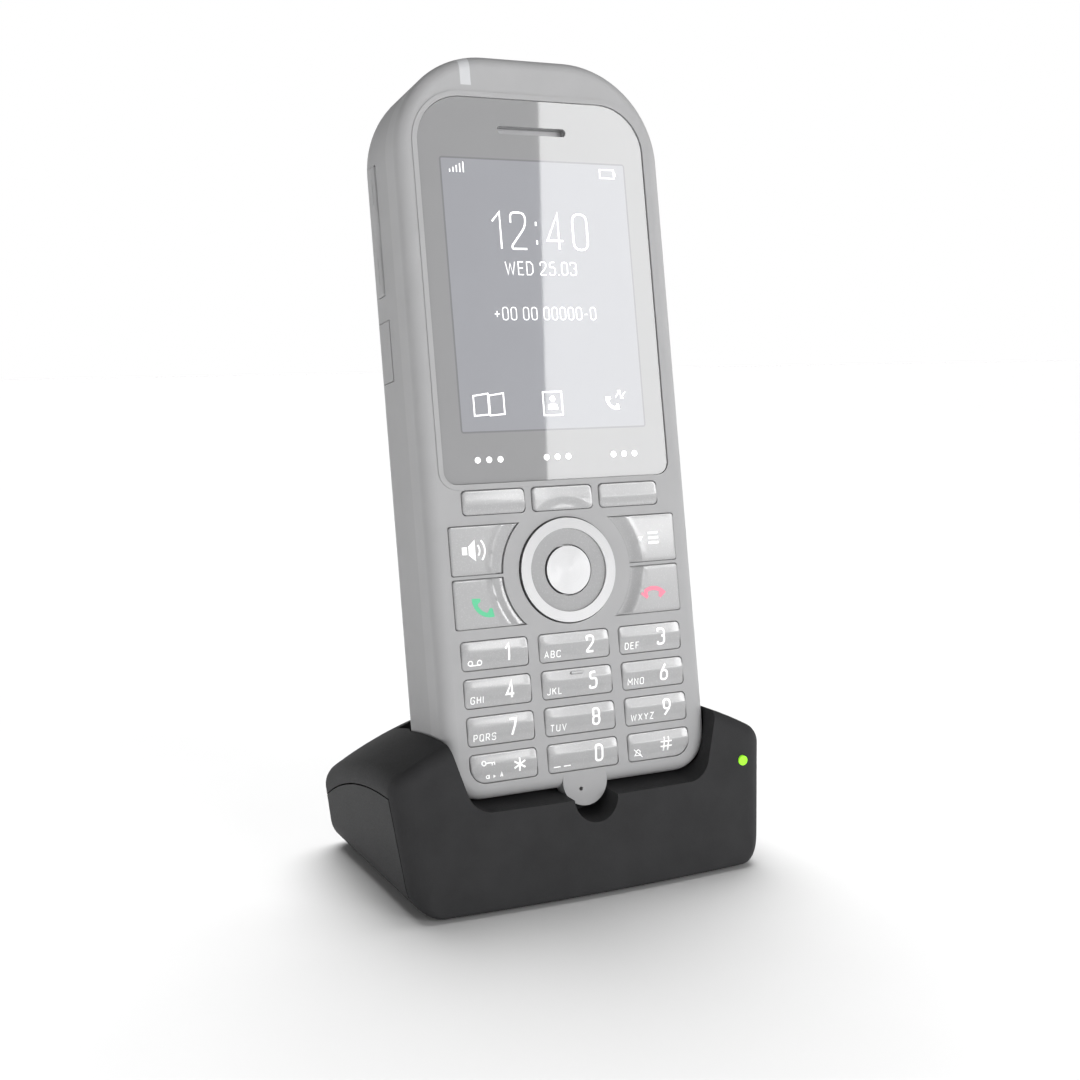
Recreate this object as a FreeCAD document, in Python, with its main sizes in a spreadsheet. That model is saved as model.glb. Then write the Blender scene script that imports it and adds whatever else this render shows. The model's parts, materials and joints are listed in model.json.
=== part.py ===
"""Cordless phone handset standing in its charging cradle.

Millimetres, +Z up. The origin is the middle of the cradle's footprint on the
surface it stands on, with the front of the phone towards -Y. Handset pieces are
drawn flat, as the handset lies on a bench: x across it, y up its length from the
lower end, z out of its front face, and z = 0 on that face. `on_handset` then
stands each of them in the cradle.
"""
import FreeCAD, Part
import math
import os
import re
import Sketcher

doc = FreeCAD.newDocument("cordless_phone")
sheet = doc.addObject("Spreadsheet::Sheet", "Dimensions")

DIMENSIONS = {
    # handset case
    "case_width": 57.5,
    "case_length": 145.0,
    "case_depth": 22.5,
    "low_corner_radius": 7.5,
    "top_corner_radius": 20.0,
    "front_edge_radius": 2.6,
    "back_edge_radius": 5.0,
    "case_wall": 1.6,
    "face_wall": 1.8,
    "seam_depth": 7.0,
    "tongue_radius": 4.8,
    "tongue_drop": 3.9,
    "tongue_depth": 3.2,
    # how the handset stands in the cradle
    "lean": 9.5,
    "seat_back": 19.6,
    "seat_height": 20.1,
    "seat_gap": 0.4,
    # window and display
    "lens_width": 49.2,
    "lens_low": 60.6,
    "lens_high": 136.2,
    "lens_thickness": 1.1,
    "lens_top_radius": 9.6,
    "lens_low_radius": 2.6,
    "lens_recess": 1.3,
    "lens_gap": 0.1,
    "bezel_width": 1.1,
    "bezel_rise": 0.2,
    "view_width": 40.0,
    "view_low": 70.7,
    "view_high": 124.0,
    "panel_width": 44.0,
    "panel_low": 68.2,
    "panel_high": 126.6,
    "panel_front": 2.3,
    "panel_thickness": 1.9,
    "ear_slot_width": 15.0,
    "ear_slot_height": 1.6,
    "ear_slot_at": 130.1,
    "alert_outer": 14.6,
    "alert_inner": 12.4,
    "alert_low": 138.6,
    # keys
    "key_gap": 0.2,
    "key_rise": 0.45,
    "key_foot_top": 1.9,
    "key_foot_thickness": 0.5,
    "key_foot_margin": 0.5,
    "key_stem_radius": 1.0,
    "key_stem_end": 4.55,
    "key_edge_radius": 0.3,
    "number_pitch": 7.2,
    "number_height": 5.38,
    "number_low_row": 6.0,
    "number_column": 17.06,
    "number_outer_width": 13.85,
    "number_middle_width": 15.2,
    "number_corner": 0.7,
    "star_corner": 3.2,
    "soft_pitch": 14.8,
    "soft_width": 13.05,
    "soft_height": 4.56,
    "soft_at": 56.9,
    "soft_corner": 0.9,
    "side_key_outer": 24.6,
    "side_key_height": 9.3,
    "side_key_gap": 1.0,
    "side_key_arc": 14.1,
    "side_key_corner": 0.5,
    # navigation key
    "nav_at": 42.6,
    "nav_radius": 10.32,
    "nav_ring_inner": 8.25,
    "nav_hole": 5.1,
    "nav_centre_radius": 4.78,
    "nav_gap": 0.3,
    "nav_plate_top": 0.15,
    "nav_ring_top": 0.6,
    "nav_foot_top": 2.4,
    "gimbal_top": 3.3,
    "gimbal_thickness": 0.8,
    "gimbal_inner": 6.2,
    "gimbal_outer": 8.2,
    "nav_stem_at": 9.5,
    "nav_stem_radius": 0.8,
    # stack behind the face
    "web_top": 2.95,
    "web_thickness": 0.5,
    "board_top": 5.5,
    "board_thickness": 0.8,
    "dome_radius": 2.2,
    "dome_height": 0.4,
    "film_thickness": 0.12,
    "side_stem_at": 19.28,
    "loudspeaker_at": 105.0,
    "loudspeaker_radius": 10.0,
    "grille_pitch": 3.0,
    # screws that join the housings
    "upper_screw_x": 18.5,
    "upper_screw_y": 131.0,
    "lower_screw_x": 15.0,
    "lower_screw_y": 63.6,
    "screw_radius": 0.95,
    "screw_head_radius": 2.0,
    "screw_head_at": 12.05,
    "pilot_radius": 1.0,
    "boss_radius": 2.4,
    "tube_radius": 3.2,
    "counterbore_radius": 2.2,
    "clearance_radius": 1.15,
    # battery and its cover
    "battery_width": 36.0,
    "battery_length": 54.0,
    "battery_thickness": 5.6,
    "bay_width": 37.0,
    "bay_low": 26.0,
    "bay_high": 82.0,
    "bay_floor": 14.0,
    "bay_wall": 1.2,
    "cover_width": 41.0,
    "cover_low": 23.5,
    "cover_high": 84.5,
    "cover_thickness": 1.6,
    "cover_corner": 4.0,
    "cover_gap": 0.3,
    "hook_at": 6.5,
    "hook_width": 6.0,
    "hook_thickness": 0.8,
    "terminal_pitch": 4.0,
    "grip_pitch": 1.5,
    # sides
    "rocker_at": 112.8,
    "rocker_length": 26.0,
    "rocker_width": 3.4,
    "rocker_proud": 0.35,
    "rocker_depth": 2.6,
    "rocker_gap": 0.15,
    "side_part_depth": 15.0,
    "jack_at": 88.6,
    "jack_cover_length": 12.0,
    "jack_cover_width": 5.6,
    "jack_radius": 1.8,
    # cradle
    "base_half_width": 37.8,
    "base_flare": 0.1206,
    "base_front": 27.75,
    "base_back": 27.75,
    "front_slope": 0.18,
    "front_bow_radius": 458.0,
    "arch_crown": 37.6,
    "arch_radius": 78.0,
    "ridge_radius": 112.0,
    "ridge_forward": 19.75,
    "foot_gap": 0.5,
    "base_wall": 2.2,
    "base_side_edge": 4.6,
    "base_low_edge": 6.0,
    "base_back_edge": 3.0,
    "base_front_edge": 2.5,
    "base_foot_edge": 1.0,
    "seam_inset": 3.8,
    "seam_groove": 0.3,
    "lip_height": 18.95,
    "mouth_half_width": 25.2,
    "mouth_flare": 0.3,
    "mouth_corner": 5.0,
    "notch_radius": 4.7,
    "contact_spacing": 14.0,
    "contact_depth": 12.4,
    "pin_radius": 0.9,
    "pin_top": 0.65,
    "pin_tip": 0.6,
    "base_board_low": 3.6,
    "base_board_thickness": 1.2,
    "lamp_x": 34.6,
    "lamp_z": 21.4,
    "lamp_radius": 1.0,
    "rubber_foot_x": 26.5,
    "rubber_foot_y": 17.2,
    "rubber_foot_radius": 4.0,
    "inlet_height": 7.9,
    "inlet_radius": 1.8,
    "inlet_wall": 0.9,
    "stand_radius": 4.2,
    "base_boss_radius": 3.0,
    "base_pilot_radius": 1.05,
    "base_screw_radius": 1.0,
    "base_head_radius": 2.2,
}

for row, (name, value) in enumerate(DIMENSIONS.items(), start=1):
    sheet.set(f"A{row}", name)
    sheet.set(f"B{row}", str(value))
    sheet.setAlias(f"B{row}", name)
doc.recompute()

ALIAS = re.compile(r"\b(" + "|".join(sorted(DIMENSIONS, key=len, reverse=True)) + r")\b")
X_AXIS = FreeCAD.Vector(1, 0, 0)
Y_AXIS = FreeCAD.Vector(0, 1, 0)
Z_AXIS = FreeCAD.Vector(0, 0, 1)
FAR = 200.0
nodes = []


def size(name):
    """One value of the sheet, as a number."""
    return float(sheet.get(name))


def bind(obj, prop, text):
    """Bind a property to an expression written with the sheet's bare aliases."""
    obj.setExpression(prop, ALIAS.sub(r"Dimensions.\1", str(text)))
    return obj


def place(obj, x=0, y=0, z=0):
    """Bind an object's position, in the frame its piece is drawn in."""
    for prop, text in zip("xyz", (x, y, z)):
        bind(obj, f"Placement.Base.{prop}", text)
    return obj


def turn(obj, axis, angle):
    """Bind an object's rotation about one axis."""
    obj.Placement = FreeCAD.Placement(obj.Placement.Base, FreeCAD.Rotation(axis, 10))
    return bind(obj, "Placement.Rotation.Angle", angle)


def block(x, y, z):
    """A box from three pairs of limits."""
    obj = doc.addObject("Part::Box", "block")
    for prop, (low, high) in zip(("Length", "Width", "Height"), (x, y, z)):
        bind(obj, prop, f"({high}) - ({low})")
    return place(obj, x[0], y[0], z[0])


def slab(half, y, z):
    """A box that is even about x = 0."""
    return block((f"-({half})", half), y, z)


def post(radius, x, y, z):
    """A cylinder along z, with z a pair of limits."""
    obj = doc.addObject("Part::Cylinder", "post")
    bind(obj, "Radius", radius)
    bind(obj, "Height", f"({z[1]}) - ({z[0]})")
    return place(obj, x, y, z[0])


def rod(radius, x, y, z, axis):
    """A cylinder along x or y: the axis's own entry is a pair of limits."""
    start = {"x": x, "y": y, "z": z}
    low, high = start[axis]
    obj = doc.addObject("Part::Cylinder", "rod")
    bind(obj, "Radius", radius)
    bind(obj, "Height", f"({high}) - ({low})")
    start[axis] = low
    place(obj, start["x"], start["y"], start["z"])
    spin, angle = (Y_AXIS, 90) if axis == "x" else (X_AXIS, -90)
    return turn(obj, spin, angle)


def ball(radius, x, y, z):
    obj = doc.addObject("Part::Sphere", "ball")
    bind(obj, "Radius", radius)
    return place(obj, x, y, z)


def fuse(*parts):
    obj = doc.addObject("Part::MultiFuse", "fuse")
    obj.Shapes = list(parts)
    return obj


def common(*parts):
    obj = doc.addObject("Part::MultiCommon", "common")
    obj.Shapes = list(parts)
    return obj


def cut(base, *tools):
    obj = doc.addObject("Part::Cut", "cut")
    obj.Base = base
    obj.Tool = tools[0] if len(tools) == 1 else fuse(*tools)
    return obj


def pick(shape, test):
    """Names of the edges whose bounding box passes the test."""
    return [f"Edge{i}" for i, edge in enumerate(shape.Edges, start=1) if test(edge.BoundBox)]


def rounded(body, feature, radius, test):
    """A fillet on those edges of a body's last feature that pass the test."""
    doc.recompute()
    obj = body.newObject("PartDesign::Fillet", "rounding")
    obj.Base = (feature, pick(feature.Shape, test))
    bind(obj, "Radius", radius)
    doc.recompute()
    return obj


def upright(edge):
    """True for the bounding box of an edge that runs along z."""
    return edge.ZLength > 0.1 and edge.XLength < 0.01 and edge.YLength < 0.01


def flat_at(height):
    """A test for the edges that lie wholly at one height."""
    return lambda edge: abs(edge.ZMin - height) < 0.01 and abs(edge.ZMax - height) < 0.01


def soft_box(x, y, z, corner):
    """A body: a box whose four upright edges are rounded."""
    body = doc.addObject("PartDesign::Body", "soft_box")
    box = body.newObject("PartDesign::AdditiveBox", "core")
    for prop, (low, high) in zip(("Length", "Width", "Height"), (x, y, z)):
        bind(box, prop, f"({high}) - ({low})")
    place(box, x[0], y[0], z[0])
    rounded(body, box, corner, upright)
    return body


def keep(obj, label):
    """Name a finished piece, which is then written to its own file."""
    obj.Label = label
    nodes.append(obj)
    return obj


def wrapped(obj):
    """A primitive's own placement says where it lies, so it needs a holder to be moved."""
    if obj.TypeId not in ("Part::Box", "Part::Cylinder"):
        return obj
    holder = doc.addObject("Part::Compound", "holder")
    holder.Links = [obj]
    return holder


def on_handset(obj, label, u="0", v="0"):
    """Keep a piece drawn on the flat handset, and stand it in the cradle."""
    obj = wrapped(obj)
    turn(obj, X_AXIS, "90 - lean")
    bind(obj, "Placement.Base.x", u)
    bind(obj, "Placement.Base.y", f"-seat_back + ({v}) * sin(lean)")
    bind(obj, "Placement.Base.z", f"seat_height + ({v}) * cos(lean)")
    return keep(obj, label)


def in_cradle(obj):
    """Stand a construction shape where the handset stands."""
    obj = wrapped(obj)
    turn(obj, X_AXIS, "90 - lean")
    return place(obj, 0, "-seat_back", "seat_height")


# ---------------------------------------------------------------- handset case

def case_form(grow):
    """The handset's outer shape, grown (or shrunk, below zero) all over."""
    body = doc.addObject("PartDesign::Body", "case_form")
    box = body.newObject("PartDesign::AdditiveBox", "core")
    bind(box, "Length", f"case_width + 2 * ({grow})")
    bind(box, "Width", f"case_length + 2 * ({grow})")
    bind(box, "Height", f"case_depth + 2 * ({grow})")
    place(box, f"-case_width / 2 - ({grow})", f"-({grow})", f"-case_depth - ({grow})")
    middle = size("case_length") / 2
    low = rounded(body, box, f"low_corner_radius + ({grow})",
                  lambda edge: upright(edge) and edge.YMin < middle)
    high = rounded(body, low, f"top_corner_radius + ({grow})",
                   lambda edge: upright(edge) and edge.YMin > middle)
    top = high.Shape.BoundBox.ZMax
    bottom = high.Shape.BoundBox.ZMin
    front = rounded(body, high, f"front_edge_radius + ({grow})", flat_at(top))
    rounded(body, front, f"back_edge_radius + ({grow})", flat_at(bottom))
    return body


def lens_outline(grow, low, high):
    """A slab with the window's outline, grown sideways, between two depths."""
    body = doc.addObject("PartDesign::Body", "lens_outline")
    box = body.newObject("PartDesign::AdditiveBox", "core")
    bind(box, "Length", f"lens_width + 2 * ({grow})")
    bind(box, "Width", f"lens_high - lens_low + 2 * ({grow})")
    bind(box, "Height", f"({high}) - ({low})")
    place(box, f"-lens_width / 2 - ({grow})", f"lens_low - ({grow})", low)
    middle = (size("lens_low") + size("lens_high")) / 2
    foot = rounded(body, box, f"lens_low_radius + ({grow})",
                   lambda edge: upright(edge) and edge.YMin < middle)
    rounded(body, foot, f"lens_top_radius + ({grow})",
            lambda edge: upright(edge) and edge.YMin > middle)
    return body


def tongue(grow, low, high):
    """The rounded tongue below the keypad, which the microphone is behind."""
    round_end = post(f"tongue_radius + ({grow})", 0, "tongue_radius - tongue_drop", (low, high))
    return common(round_end, slab(FAR, (-FAR, "case_wall"), (-FAR, FAR)))


outer_case = case_form("0")
inner_case = case_form("-case_wall")
face_zone = slab(FAR, (-FAR, FAR), ("-seam_depth", FAR))
back_zone = slab(FAR, (-FAR, FAR), (-FAR, "-seam_depth"))

number_rows = {"1 2 3": 3, "4 5 6": 2, "7 8 9": 1, "star 0 hash": 0}
number_keys = []
for names, row in number_rows.items():
    for column, name in enumerate(names.split(), start=-1):
        width = "number_middle_width" if column == 0 else "number_outer_width"
        number_keys.append((f"key_{name}", column, row, width))

FOOT_ZONE = ("-key_foot_top - key_foot_thickness", "-key_foot_top")
CAP_ZONE = ("-key_foot_top", "key_rise")
STEM_ZONE = ("-key_stem_end", "-key_foot_top")


def number_cap(column, row, width, grow, zone):
    """The outline of a number key about its own centre, with the star's cut corner."""
    half = f"({width}) / 2 + ({grow})"
    tall = f"number_height / 2 + ({grow})"
    body = doc.addObject("PartDesign::Body", "number_cap")
    box = body.newObject("PartDesign::AdditiveBox", "core")
    bind(box, "Length", f"2 * ({half})")
    bind(box, "Width", f"2 * ({tall})")
    bind(box, "Height", f"({zone[1]}) - ({zone[0]})")
    place(box, f"-({half})", f"-({tall})", zone[0])
    last = box
    if row == 0 and column != 0:
        last = rounded(body, last, f"star_corner + ({grow})",
                       lambda edge: upright(edge) and edge.YMin < 0 and edge.XMin * column > 0)
        return body, last, lambda edge: upright(edge) and not (edge.YMin < 0 and edge.XMin * column > 0)
    return body, last, upright


def finish_cap(body, feature):
    """Soften the rim of a key's top."""
    return rounded(body, feature, "key_edge_radius", flat_at(size("key_rise")))


def number_outline(column, row, width, grow, zone):
    body, last, test = number_cap(column, row, width, grow, zone)
    corner = rounded(body, last, f"number_corner + ({grow})", test)
    return body, corner


def number_key(label, column, row, width):
    """One number key: cap, foot that stays behind the face, and stem to its dome."""
    cap, corner = number_outline(column, row, width, "0", CAP_ZONE)
    finish_cap(cap, corner)
    foot, _ = number_outline(column, row, width, "key_foot_margin", FOOT_ZONE)
    stem = post("key_stem_radius", 0, 0, STEM_ZONE)
    at = (f"{column} * number_column", f"number_low_row + {row} * number_pitch")
    return on_handset(fuse(cap, foot, stem), label, *at)


def moved(obj, x, y):
    """Shift a construction shape across the handset."""
    return place(obj, x, y, 0)


soft_keys = {"soft_key_left": -1, "soft_key_middle": 0, "soft_key_right": 1}


def soft_outline(column, grow, zone, corner="soft_corner"):
    """The outline of a key under the display, in place on the handset."""
    half = f"soft_width / 2 + ({grow})"
    tall = f"soft_height / 2 + ({grow})"
    return soft_box((f"{column} * soft_pitch - ({half})", f"{column} * soft_pitch + ({half})"),
                    (f"soft_at - ({tall})", f"soft_at + ({tall})"), zone, corner)


def soft_key(label, column):
    cap = soft_outline(column, "0", CAP_ZONE)
    finish_cap(cap, cap.Tip)
    foot = soft_outline(column, "key_foot_margin", FOOT_ZONE)
    stem = post("key_stem_radius", f"{column} * soft_pitch", "soft_at", STEM_ZONE)
    return on_handset(fuse(cap, foot, stem), label)


side_keys = {
    "speaker_key": (-1, 1),
    "call_key": (-1, -1),
    "menu_key": (1, 1),
    "end_key": (1, -1),
}


def side_outline(side, row, grow, zone):
    """A key beside the ring: a box whose inner edge is an arc about the ring's centre."""
    near = f"nav_at + {row} * side_key_gap / 2 - {row} * ({grow})"
    far = f"nav_at + {row} * (side_key_gap / 2 + side_key_height + ({grow}))"
    outer = f"{side} * (side_key_outer + ({grow}))"
    inner = f"{side} * (nav_radius - 1)"
    x = (inner, outer) if side > 0 else (outer, inner)
    y = (near, far) if row > 0 else (far, near)
    plate = soft_box(x, y, zone, "side_key_corner")
    return cut(plate, post(f"side_key_arc - ({grow})", 0, "nav_at", ("-board_top", 2)))


def side_key(label, side, row):
    cap = side_outline(side, row, "0", CAP_ZONE)
    foot = side_outline(side, row, "key_foot_margin", FOOT_ZONE)
    middle = f"nav_at + {row} * (side_key_gap + side_key_height) / 2"
    stem = post("key_stem_radius", f"{side} * side_stem_at", middle, STEM_ZONE)
    return on_handset(fuse(cap, foot, stem), label)


def key_openings():
    """Every hole that a key stands in."""
    through = ("-face_wall - 1", 2)
    holes = []
    for _, column, row, width in number_keys:
        hole, _ = number_outline(column, row, width, "key_gap", through)
        holes.append(moved(hole, f"{column} * number_column", f"number_low_row + {row} * number_pitch"))
    holes += [soft_outline(column, "key_gap", through) for column in soft_keys.values()]
    holes += [side_outline(side, row, "key_gap", through) for side, row in side_keys.values()]
    holes.append(post("nav_radius + nav_gap", 0, "nav_at", through))
    return holes


# the upper screws pass beside the display, the lower pair is reached through the battery bay
screw_places = [(f"{side} * {end}_screw_x", f"{end}_screw_y")
                for end in ("upper", "lower") for side in (-1, 1)]
ALERT_ZONE = ("-alert_outer", "-alert_inner")
EAR_ZONE = ("ear_slot_at - ear_slot_height / 2", "ear_slot_at + ear_slot_height / 2")


def front_housing():
    """The face: plate, rim, window recess, key holes and screw bosses."""
    hollow = common(inner_case, slab(FAR, (-FAR, FAR), (-FAR, "-face_wall")))
    window_floor = cut(lens_outline("0.6", "-2.2", "-lens_recess"),
                       slab("view_width / 2 + 0.5", ("view_low - 0.5", "view_high + 0.5"), (-5, 0)))
    rim = cut(lens_outline("bezel_width", "-1.5", "bezel_rise"), lens_outline("lens_gap", -3, 2))
    shell = cut(common(outer_case, face_zone), hollow)
    # the tongue's root fills the case's rounded edge, so the face runs out onto the tongue
    root = common(post("tongue_radius", 0, "tongue_radius - tongue_drop", ("-face_wall", 0)),
                  slab(FAR, (0, "front_edge_radius"), (-FAR, FAR)))
    lobe = fuse(tongue("0", "-tongue_depth", "0"), root)
    body = fuse(cut(shell, lens_outline("lens_gap", "-face_wall - 1", 2)), window_floor, rim, lobe)
    bosses = [post("boss_radius", x, y, ("-board_top + 0.05", "-face_wall + 0.05"))
              for x, y in screw_places]
    pilots = [post("pilot_radius", x, y, ("-board_top - 1", "-face_wall - 0.8")) for x, y in screw_places]
    ear = slab("ear_slot_width / 2", EAR_ZONE, (-5, 2))
    microphone_hole = post(0.4, -1, "-0.5", (-5, 2))
    strip = block(ALERT_ZONE, ("alert_low", "case_length + 1"), ("-seam_depth + 1", 2))
    openings = key_openings() + pilots + [ear, microphone_hole, strip]
    return on_handset(cut(fuse(body, *bosses), *openings), "front_housing")


def cover_outline(grow, low, high):
    """The battery cover's outline, grown sideways, between two depths."""
    half = f"cover_width / 2 + ({grow})"
    return soft_box((f"-({half})", half), (f"cover_low - ({grow})", f"cover_high + ({grow})"),
                    (low, high), "cover_corner")


def rear_housing():
    """The back shell, with the battery bay, loudspeaker grille and side openings."""
    shell = cut(common(outer_case, back_zone), inner_case)
    bay_outer = slab("bay_width / 2 + bay_wall", ("bay_low - bay_wall", "bay_high + bay_wall"),
                     ("-case_depth + case_wall / 2", "-bay_floor + bay_wall"))
    seat_ring = cut(cover_outline("2", "-case_depth + 0.9", "-case_depth + cover_thickness + 1.6"),
                    slab("bay_width / 2", ("bay_low", "bay_high"), (-FAR, 0)))
    tubes = [post("tube_radius", x, y, ("-case_depth + case_wall / 2", "-board_top - board_thickness - 0.05"))
             for x, y in screw_places]
    body = fuse(shell, common(fuse(bay_outer, seat_ring, *tubes), outer_case))
    bay = slab("bay_width / 2", ("bay_low", "bay_high"), (-FAR, "-bay_floor"))
    recess = cover_outline("cover_gap", -FAR, "-case_depth + cover_thickness + 0.1")
    hook_room = slab("hook_at + hook_width / 2 + 1.5", ("cover_high - 3.5", "cover_high + 3"),
                     ("-case_depth + cover_thickness", "-case_depth + cover_thickness + 1.7"))
    counterbores = [post("counterbore_radius", x, y, (-FAR, "-screw_head_at + 0.05"))
                    for x, y in screw_places]
    shanks = [post("clearance_radius", x, y, (-FAR, 0)) for x, y in screw_places]
    slots = []
    for step, half in ((-2, 5.5), (-1, 7.5), (0, 8.2), (1, 7.5), (2, 5.5)):
        middle = f"loudspeaker_at + {step} * grille_pitch"
        slots.append(slab(half, (f"{middle} - 0.5", f"{middle} + 0.5"), (-FAR, "-case_depth + 3")))
    rocker_hole = side_window("rocker_at", "rocker_length / 2 + rocker_gap",
                              "rocker_width / 2 + rocker_gap", -24)
    jack_hole = side_window("jack_at", "jack_cover_length / 2 + 0.15",
                            "jack_cover_width / 2 + 0.15", -26.6)
    jack_bore = rod("jack_radius + 0.9", (-FAR, -24), "jack_at", "-side_part_depth", "x")
    contacts = contact_blocks("0", "1.4")
    return on_handset(cut(body, bay, recess, hook_room, *counterbores, *shanks, *slots,
                          rocker_hole, jack_hole, jack_bore, *contacts), "rear_housing")


def side_window(at, half_length, half_width, inner):
    """A rectangular hole or pocket in the left side."""
    return block((-FAR, inner), (f"{at} - ({half_length})", f"{at} + ({half_length})"),
                 (f"-side_part_depth - ({half_width})", f"-side_part_depth + ({half_width})"))


def contact_blocks(low, high):
    """The two charging contacts in the handset's lower end, or the room for them."""
    return [block((f"{side} * contact_spacing / 2 - 2.5", f"{side} * contact_spacing / 2 + 2.5"), (low, high),
                  ("-contact_depth - 1.8", "-contact_depth + 1.8")) for side in (-1, 1)]


def display_parts():
    """Window, display module, its holder and the earpiece."""
    pane = lens_outline("0", "-lens_recess + 0.05", "-lens_recess + 0.05 + lens_thickness")
    slot = soft_box(("-ear_slot_width / 2", "ear_slot_width / 2"),
                    EAR_ZONE, (-4, 2), "0.75")
    on_handset(cut(pane, slot), "display_window")
    panel_zone = ("-panel_front - panel_thickness", "-panel_front")
    on_handset(slab("panel_width / 2", ("panel_low", "panel_high"), panel_zone), "display_panel")
    holder = cut(slab("panel_width / 2 + 1", ("panel_low - 1", "panel_high + 0.5"), ("-board_top", "-2.25")),
                 slab("panel_width / 2 + 0.05", ("panel_low - 0.05", "panel_high + 0.05"),
                      ("-panel_front - panel_thickness - 0.05", 0)))
    tubes = [post("boss_radius + 0.2", x, y, ("-board_top - 1", 0)) for x, y in screw_places]
    on_handset(cut(holder, *tubes), "display_holder")
    ear = soft_box(("-ear_slot_width / 2", "ear_slot_width / 2"), ("ear_slot_at - 2.7", "ear_slot_at + 2.9"),
                   ("-board_top", "-panel_front + 0.05"), "1.5")
    on_handset(ear, "earpiece")


def board_parts():
    """Main board, dome sheet, key web and what is soldered on."""
    board_zone = ("-board_top - board_thickness", "-board_top")
    board = common(case_form("-case_wall - 0.5"), slab(FAR, (3, 136), board_zone))
    holes = [post("clearance_radius + 0.15", x, y, (-FAR, 0)) for x, y in screw_places]
    on_handset(cut(board, *holes), "main_board")
    domes = [post("dome_radius", x, y, ("-board_top", "-board_top + dome_height")) for x, y in dome_places()]
    film = slab(24, (2.8, 60), ("-board_top", "-board_top + film_thickness"))
    on_handset(fuse(film, *domes), "dome_sheet")
    web_zone = ("-web_top - web_thickness", "-web_top")
    web = common(case_form("-case_wall - 0.6"), slab(FAR, (2.4, 60.4), web_zone))
    stems = [post("key_stem_radius + 0.35", x, y, (-FAR, 0)) for x, y in key_places()]
    middle = post("nav_radius + 1", 0, "nav_at", (-FAR, 0))
    web_holes = [post(3, x, y, (-FAR, 0)) for x, y in screw_places]
    on_handset(cut(web, middle, *stems, *web_holes), "key_web")
    sound = post(2.5, -1, 6.2, ("-board_top - board_thickness - 1.6", "-board_top - board_thickness"))
    on_handset(sound, "microphone")
    speaker = fuse(post("loudspeaker_radius", 0, "loudspeaker_at", (-18.2, -15.6)),
                   post("loudspeaker_radius - 1.4", 0, "loudspeaker_at", (-20.7, -18.2)))
    on_handset(speaker, "loudspeaker")
    aerial = fuse(slab(14, (127, 133.5), (-8.2, -7.8)),
                  slab(14, (133, 133.5), (-8.2, "-board_top - board_thickness")))
    on_handset(aerial, "antenna")
    lamp = block(("-alert_outer + 0.2", "-alert_inner - 0.2"), (131.4, 133.4),
                 ("-board_top", "-board_top + 1"))
    on_handset(lamp, "alert_led")
    strip = common(case_form("0"), block(ALERT_ZONE, ("alert_low", "case_length"), ("-seam_depth + 1", 1)))
    on_handset(cut(strip, case_form("-case_wall")), "alert_light_bar")


def nav_domes():
    """Places of the four domes under the navigation key, as steps along x and y."""
    return ((1, 0), (-1, 0), (0, 1), (0, -1))


def key_places():
    """Where every key's stem stands, apart from the navigation key's."""
    places = [(f"{column} * number_column", f"number_low_row + {row} * number_pitch")
              for _, column, row, _ in number_keys]
    places += [(f"{column} * soft_pitch", "soft_at") for column in soft_keys.values()]
    places += [(f"{side} * side_stem_at", f"nav_at + {row} * (side_key_gap + side_key_height) / 2")
               for side, row in side_keys.values()]
    return places


def dome_places():
    """Where every dome lies."""
    around = [(f"{x} * nav_stem_at", f"nav_at + {y} * nav_stem_at") for x, y in nav_domes()]
    return key_places() + around + [("0", "nav_at")]


def nav_parts():
    """Navigation key: plate with a metal trim ring, its gimbal, and the centre key."""
    hole = post("nav_hole", 0, 0, (-FAR, FAR))
    plate = post("nav_radius", 0, 0, ("-key_foot_top", "nav_plate_top"))
    foot = cut(post("nav_radius + 0.6", 0, 0, ("-nav_foot_top - key_foot_thickness", "-nav_foot_top")),
               post("nav_hole + 0.9", 0, 0, (-FAR, FAR)))
    skirt = cut(post("nav_radius", 0, 0, ("-nav_foot_top", "-key_foot_top")),
                post("nav_hole + 0.9", 0, 0, (-FAR, FAR)))
    stems = [post("nav_stem_radius", f"nav_stem_at * {x}", f"nav_stem_at * {y}", STEM_ZONE)
             for x, y in nav_domes()]
    seat = cut(post("nav_radius + 1", 0, 0, ("-0.3", 2)), post("nav_ring_inner", 0, 0, (-3, 3)))
    on_handset(fuse(cut(plate, hole, seat), skirt, foot, *stems), "nav_key", "0", "nav_at")
    trim = cut(post("nav_radius", 0, 0, ("-0.3", "nav_ring_top")), post("nav_ring_inner", 0, 0, (-3, 3)))
    on_handset(trim, "nav_trim_ring", "0", "nav_at")
    gimbal = cut(post("gimbal_outer", 0, 0, ("-gimbal_top - gimbal_thickness", "-gimbal_top")),
                 post("gimbal_inner", 0, 0, (-FAR, FAR)))
    on_handset(gimbal, "nav_gimbal", "0", "nav_at")
    centre_foot = post("nav_hole + 0.4", 0, 0, ("-nav_foot_top - key_foot_thickness", "-nav_foot_top"))
    centre = fuse(post("nav_centre_radius", 0, 0, ("-nav_foot_top - 0.1", "key_rise")), centre_foot,
                  post("key_stem_radius", 0, 0, STEM_ZONE))
    on_handset(centre, "nav_centre_key", "0", "nav_at")


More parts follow.
